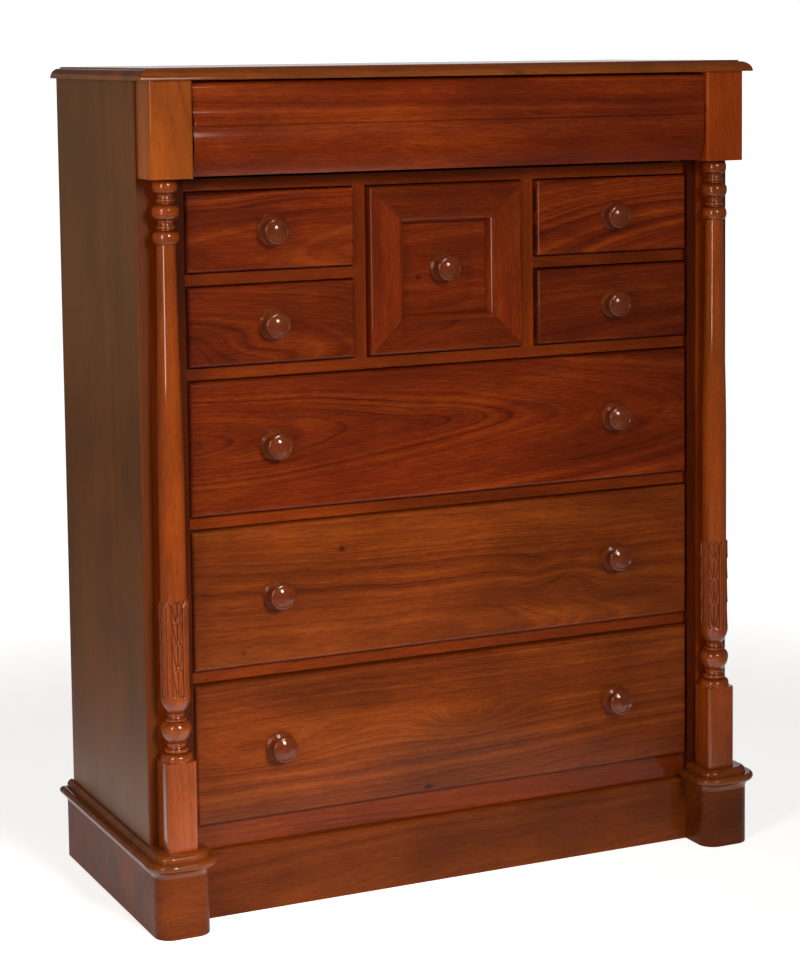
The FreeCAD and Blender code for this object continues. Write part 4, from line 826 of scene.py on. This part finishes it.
def add_block(bm):
    """Square lower block with rounded upright arrises."""
    rings = []
    centre = BLOCK_HALF - BLOCK_ARRIS
    for height, inset in ((BLOCK_LOW, 0.0), (BLOCK_TOP - BLOCK_EASE, 0.0), (BLOCK_TOP, BLOCK_EASE)):
        ring = []
        for corner in range(4):
            for k in range(BLOCK_STEPS + 1):
                a = math.pi / 2.0 * (corner + k / BLOCK_STEPS)
                cx = centre * (1 if corner in (0, 3) else -1)
                cy = centre * (1 if corner in (0, 1) else -1)
                ring.append(bm.verts.new((cx + (BLOCK_ARRIS - inset) * math.cos(a),
                                          cy + (BLOCK_ARRIS - inset) * math.sin(a), height)))
        rings.append(ring)
    skin(bm, rings)


def as_piece(bm, name, node):
    """A piece of a finished shape, smooth up to its sharp edges, in its node's wood."""
    data = bpy.data.meshes.new(name)
    bm.to_mesh(data)
    bm.free()
    data.shade_smooth()
    data.set_sharp_from_angle(angle=SHARP_ANGLE)
    piece = bpy.data.objects.new(name, data)
    bpy.context.collection.objects.link(piece)
    data.materials.append(wood("wood_" + name, **board_of(node)))
    return piece


def make_column(name, node, x, turned_by):
    """One column with its block, members, carving and shaft, in place of the CAD column."""
    bm = bmesh.new()
    hollow = bm.verts.layers.float.new("hollow")
    add_block(bm)
    add_lathe(bm, foot_outline(), hollow)
    add_carving(bm, turned_by, hollow)
    add_lathe(bm, shaft_outline(), hollow)
    add_lathe(bm, head_outline(), hollow)
    bmesh.ops.translate(bm, verts=bm.verts, vec=(x, COLUMN_Y, 0.0))
    bmesh.ops.scale(bm, verts=bm.verts, vec=(MM, MM, MM))
    piece = as_piece(bm, name, node)
    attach(piece, "carcass")
    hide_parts(node)


make_column("carved_column_left", "column_left", -COLUMN_X, TURN_LEFT)
make_column("carved_column_right", "column_right", COLUMN_X, TURN_RIGHT)

# ---- capital blocks with rounded front arrises --------------------------------------------
CAPITAL_ARRIS = 0.006
CAPITAL_LIP = 0.0014
ARRIS_STEPS = 10


def make_capital(name, node):
    """The block under the top's corner, its front arrises rounded and its lower edge eased."""
    low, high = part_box(node)
    bm = bmesh.new()
    rings = []
    left, right = low[0] + CAPITAL_ARRIS, high[0] - CAPITAL_ARRIS
    front = low[1] + CAPITAL_ARRIS
    for height, inset in ((low[2], CAPITAL_LIP), (low[2] + CAPITAL_LIP * 0.3, CAPITAL_LIP * 0.3),
                          (low[2] + CAPITAL_LIP, 0.0), (high[2], 0.0)):
        radius = CAPITAL_ARRIS - inset
        ring = [(high[0] - inset, high[1]), (low[0] + inset, high[1])]
        for centre, start in ((left, math.pi), (right, 1.5 * math.pi)):
            for k in range(ARRIS_STEPS + 1):
                turn = start + math.pi / 2.0 * k / ARRIS_STEPS
                ring.append((centre + radius * math.cos(turn), front + radius * math.sin(turn)))
        rings.append([bm.verts.new((x, y, height)) for x, y in ring])
    skin(bm, rings)
    piece = as_piece(bm, name, node)
    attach(piece, "carcass")
    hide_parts(node)


make_capital("rounded_capital_left", "capital_left")
make_capital("rounded_capital_right", "capital_right")

# ---- CAD nodes ---------------------------------------------------------------------------
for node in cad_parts:
    if not node.startswith(("column_", "capital_")):
        give(node, wood("wood_" + node, **board_of(node)))

# ---- stage and light ---------------------------------------------------------------------
FLOOR_RADIUS = 40.0
FLOOR_STEPS = 96
WALL_RADIUS = 12.0
WALL_HEIGHT = 4.0
WALL_FILLET = 1.5
WALL_LIFT = 0.001
WALL_FROM = math.radians(-15)
WALL_TO = math.radians(75)
WALL_STEPS = 48
FILLET_STEPS = 12
STAGE_WHITE = rgb(0.94, 0.94, 0.94)
STAGE_ROUGH = 0.9
FULL_WHITE = rgb(1.0, 1.0, 1.0)
FILL = 0.09
NEAR_GLOW = 0.72
NEAR_RADIUS = 1.2
FAR_RADIUS = 2.6
VIEW_MARGIN = 0.10
VIEW_FADE = 0.35
FRONT_EDGE = -0.62


def near_glow(split):
    """Full white far away, held back round the chest so that its shadow shows."""
    tree = split[0].id_data
    square = plus(tree, times(tree, split[0], split[0]), times(tree, split[1], split[1]))
    return reach(tree, calc(tree, "SQRT", square), NEAR_RADIUS, FAR_RADIUS, NEAR_GLOW, 1.0)


def white_lane(split):
    """1 on the part of the stage that the photograph shows, which the varnish mirrors as white,
    and 0 on the rest, which stays dim for it."""
    tree = split[0].id_data
    sine, cosine = math.sin(CAMERA_YAW), math.cos(CAMERA_YAW)
    behind = plus(tree, times(tree, split[0], sine), times(tree, split[1], cosine))
    beside = minus(tree, times(tree, split[0], cosine), times(tree, split[1], sine))
    ahead = minus(tree, behind, CAMERA_PLACE.x * sine + CAMERA_PLACE.y * cosine)
    aside = minus(tree, beside, CAMERA_PLACE.x * cosine - CAMERA_PLACE.y * sine)
    left = PRINCIPAL_POINT[0] / FOCAL_PIXELS
    right = (IMAGE_WIDTH - PRINCIPAL_POINT[0]) / FOCAL_PIXELS
    outside = calc(tree, "MAXIMUM", minus(tree, aside, times(tree, ahead, right)),
                   minus(tree, times(tree, ahead, -left), aside))
    lane = reach(tree, outside, VIEW_MARGIN + VIEW_FADE, VIEW_MARGIN)
    return times(tree, lane, reach(tree, behind, FRONT_EDGE - VIEW_FADE, FRONT_EDGE))


def stage_material():
    """Matt white, lifted to full white for the camera's rays and, in its lane, for reflections."""
    material = bpy.data.materials.new("studio_white")
    material.use_nodes = True
    tree = material.node_tree
    split = axes(tree, add(tree, "ShaderNodeTexCoord").outputs["Object"])
    ray = add(tree, "ShaderNodeLightPath").outputs
    mirrored = calc(tree, "MAXIMUM", ray["Is Glossy Ray"], ray["Is Transmission Ray"])
    seen = calc(tree, "MAXIMUM", ray["Is Camera Ray"], times(tree, mirrored, white_lane(split)))
    values = {"Base Color": STAGE_WHITE, "Roughness": STAGE_ROUGH, "Specular IOR Level": 0.0,
              "Emission Color": FULL_WHITE, "Emission Strength": times(tree, seen, near_glow(split))}
    shader = tree.nodes["Principled BSDF"].inputs
    for socket, value in values.items():
        feed(tree, shader[socket], value)
    return material


def floor_mesh():
    """A round floor."""
    data = bpy.data.meshes.new("floor")
    rim = [(FLOOR_RADIUS * math.cos(2 * math.pi * k / FLOOR_STEPS),
            FLOOR_RADIUS * math.sin(2 * math.pi * k / FLOOR_STEPS), 0.0) for k in range(FLOOR_STEPS)]
    data.from_pydata(rim, [], [list(range(FLOOR_STEPS))])
    return data


def wall_mesh():
    """A wall far behind the chest, curved round it and coved into the floor."""
    data = bpy.data.meshes.new("wall")
    profile = []
    for k in range(FILLET_STEPS + 1):
        b = math.pi / 2.0 * k / FILLET_STEPS
        profile.append((WALL_RADIUS - WALL_FILLET + WALL_FILLET * math.sin(b),
                        WALL_FILLET * (1.0 - math.cos(b)) + WALL_LIFT))
    profile.append((WALL_RADIUS, WALL_HEIGHT))
    verts, faces = [], []
    for i in range(WALL_STEPS + 1):
        turn = WALL_FROM + (WALL_TO - WALL_FROM) * i / WALL_STEPS
        verts += [(r * math.sin(turn), r * math.cos(turn), z) for r, z in profile]
    count = len(profile)
    for i in range(WALL_STEPS):
        for k in range(count - 1):
            a = i * count + k
            faces.append((a, a + 1, a + count + 1, a + count))
    data.from_pydata(verts, [], faces)
    data.shade_smooth()
    return data


def make_stage():
    """White floor and wall, kept apart from the chest's own pieces."""
    material = stage_material()
    for name, mesh in (("floor", floor_mesh()), ("wall", wall_mesh())):
        mesh.materials.append(material)
        piece = bpy.data.objects.new(name, mesh)
        bpy.context.collection.objects.link(piece)


def make_world():
    """A white world for the camera's rays that lights the chest as a weak fill."""
    world = bpy.data.worlds.new("studio")
    bpy.context.scene.world = world
    world.use_nodes = True
    tree = world.node_tree
    sky = tree.nodes["Background"].inputs
    ray = add(tree, "ShaderNodeLightPath").outputs["Is Camera Ray"]
    feed(tree, sky["Color"], FULL_WHITE)
    feed(tree, sky["Strength"], reach(tree, ray, 0.0, 1.0, FILL, 1.0, False))


LAMP_WHITE = (1.0, 0.91, 0.79)
CARD_AMBER = (1.0, 0.72, 0.36)
FRONT_LAMP = (0.3, -4.1, 2.4)


def lamp(name, place, aim, width, height, level, spread, colour=LAMP_WHITE):
    """A soft box, or a round one where its width and height are equal.

    level is how bright white paper would be where the box is aimed, turned to face it, and a
    spread under 180 degrees gathers the light round that line.
    """
    line = Vector(aim) - Vector(place)
    half = math.radians(spread) / 2.0
    data = bpy.data.lights.new(name, "AREA")
    data.shape = "RECTANGLE" if height != width else "DISK"
    data.size = width
    data.size_y = height
    data.spread = 2.0 * half
    data.energy = level * math.pi ** 2 * line.length_squared * (1.0 - half / math.tan(half))
    data.color = colour
    light = bpy.data.objects.new(name, data)
    light.location = place
    light.rotation_euler = line.to_track_quat("-Z", "Y").to_euler()
    light.visible_camera = False
    bpy.context.collection.objects.link(light)


make_stage()
make_world()
lamp("left_box", (-2.8, -2.1, 1.55), (-0.3, -0.2, 0.75), 0.6, 2.0, 0.45, 120.0)
lamp("front_lamp", FRONT_LAMP, (0.0, -0.2, 0.75), 1.4, 1.4, 0.35, 80.0)
lamp("front_beam", FRONT_LAMP, (-0.6, -0.2, 0.3), 1.0, 1.0, 0.85, 30.0)
lamp("back_card", (-1.9, 2.7, 1.3), (-0.56, 0.0, 1.0), 2.2, 1.6, 0.034, 179.0, CARD_AMBER)

bpy.context.scene.view_settings.view_transform = "Standard"
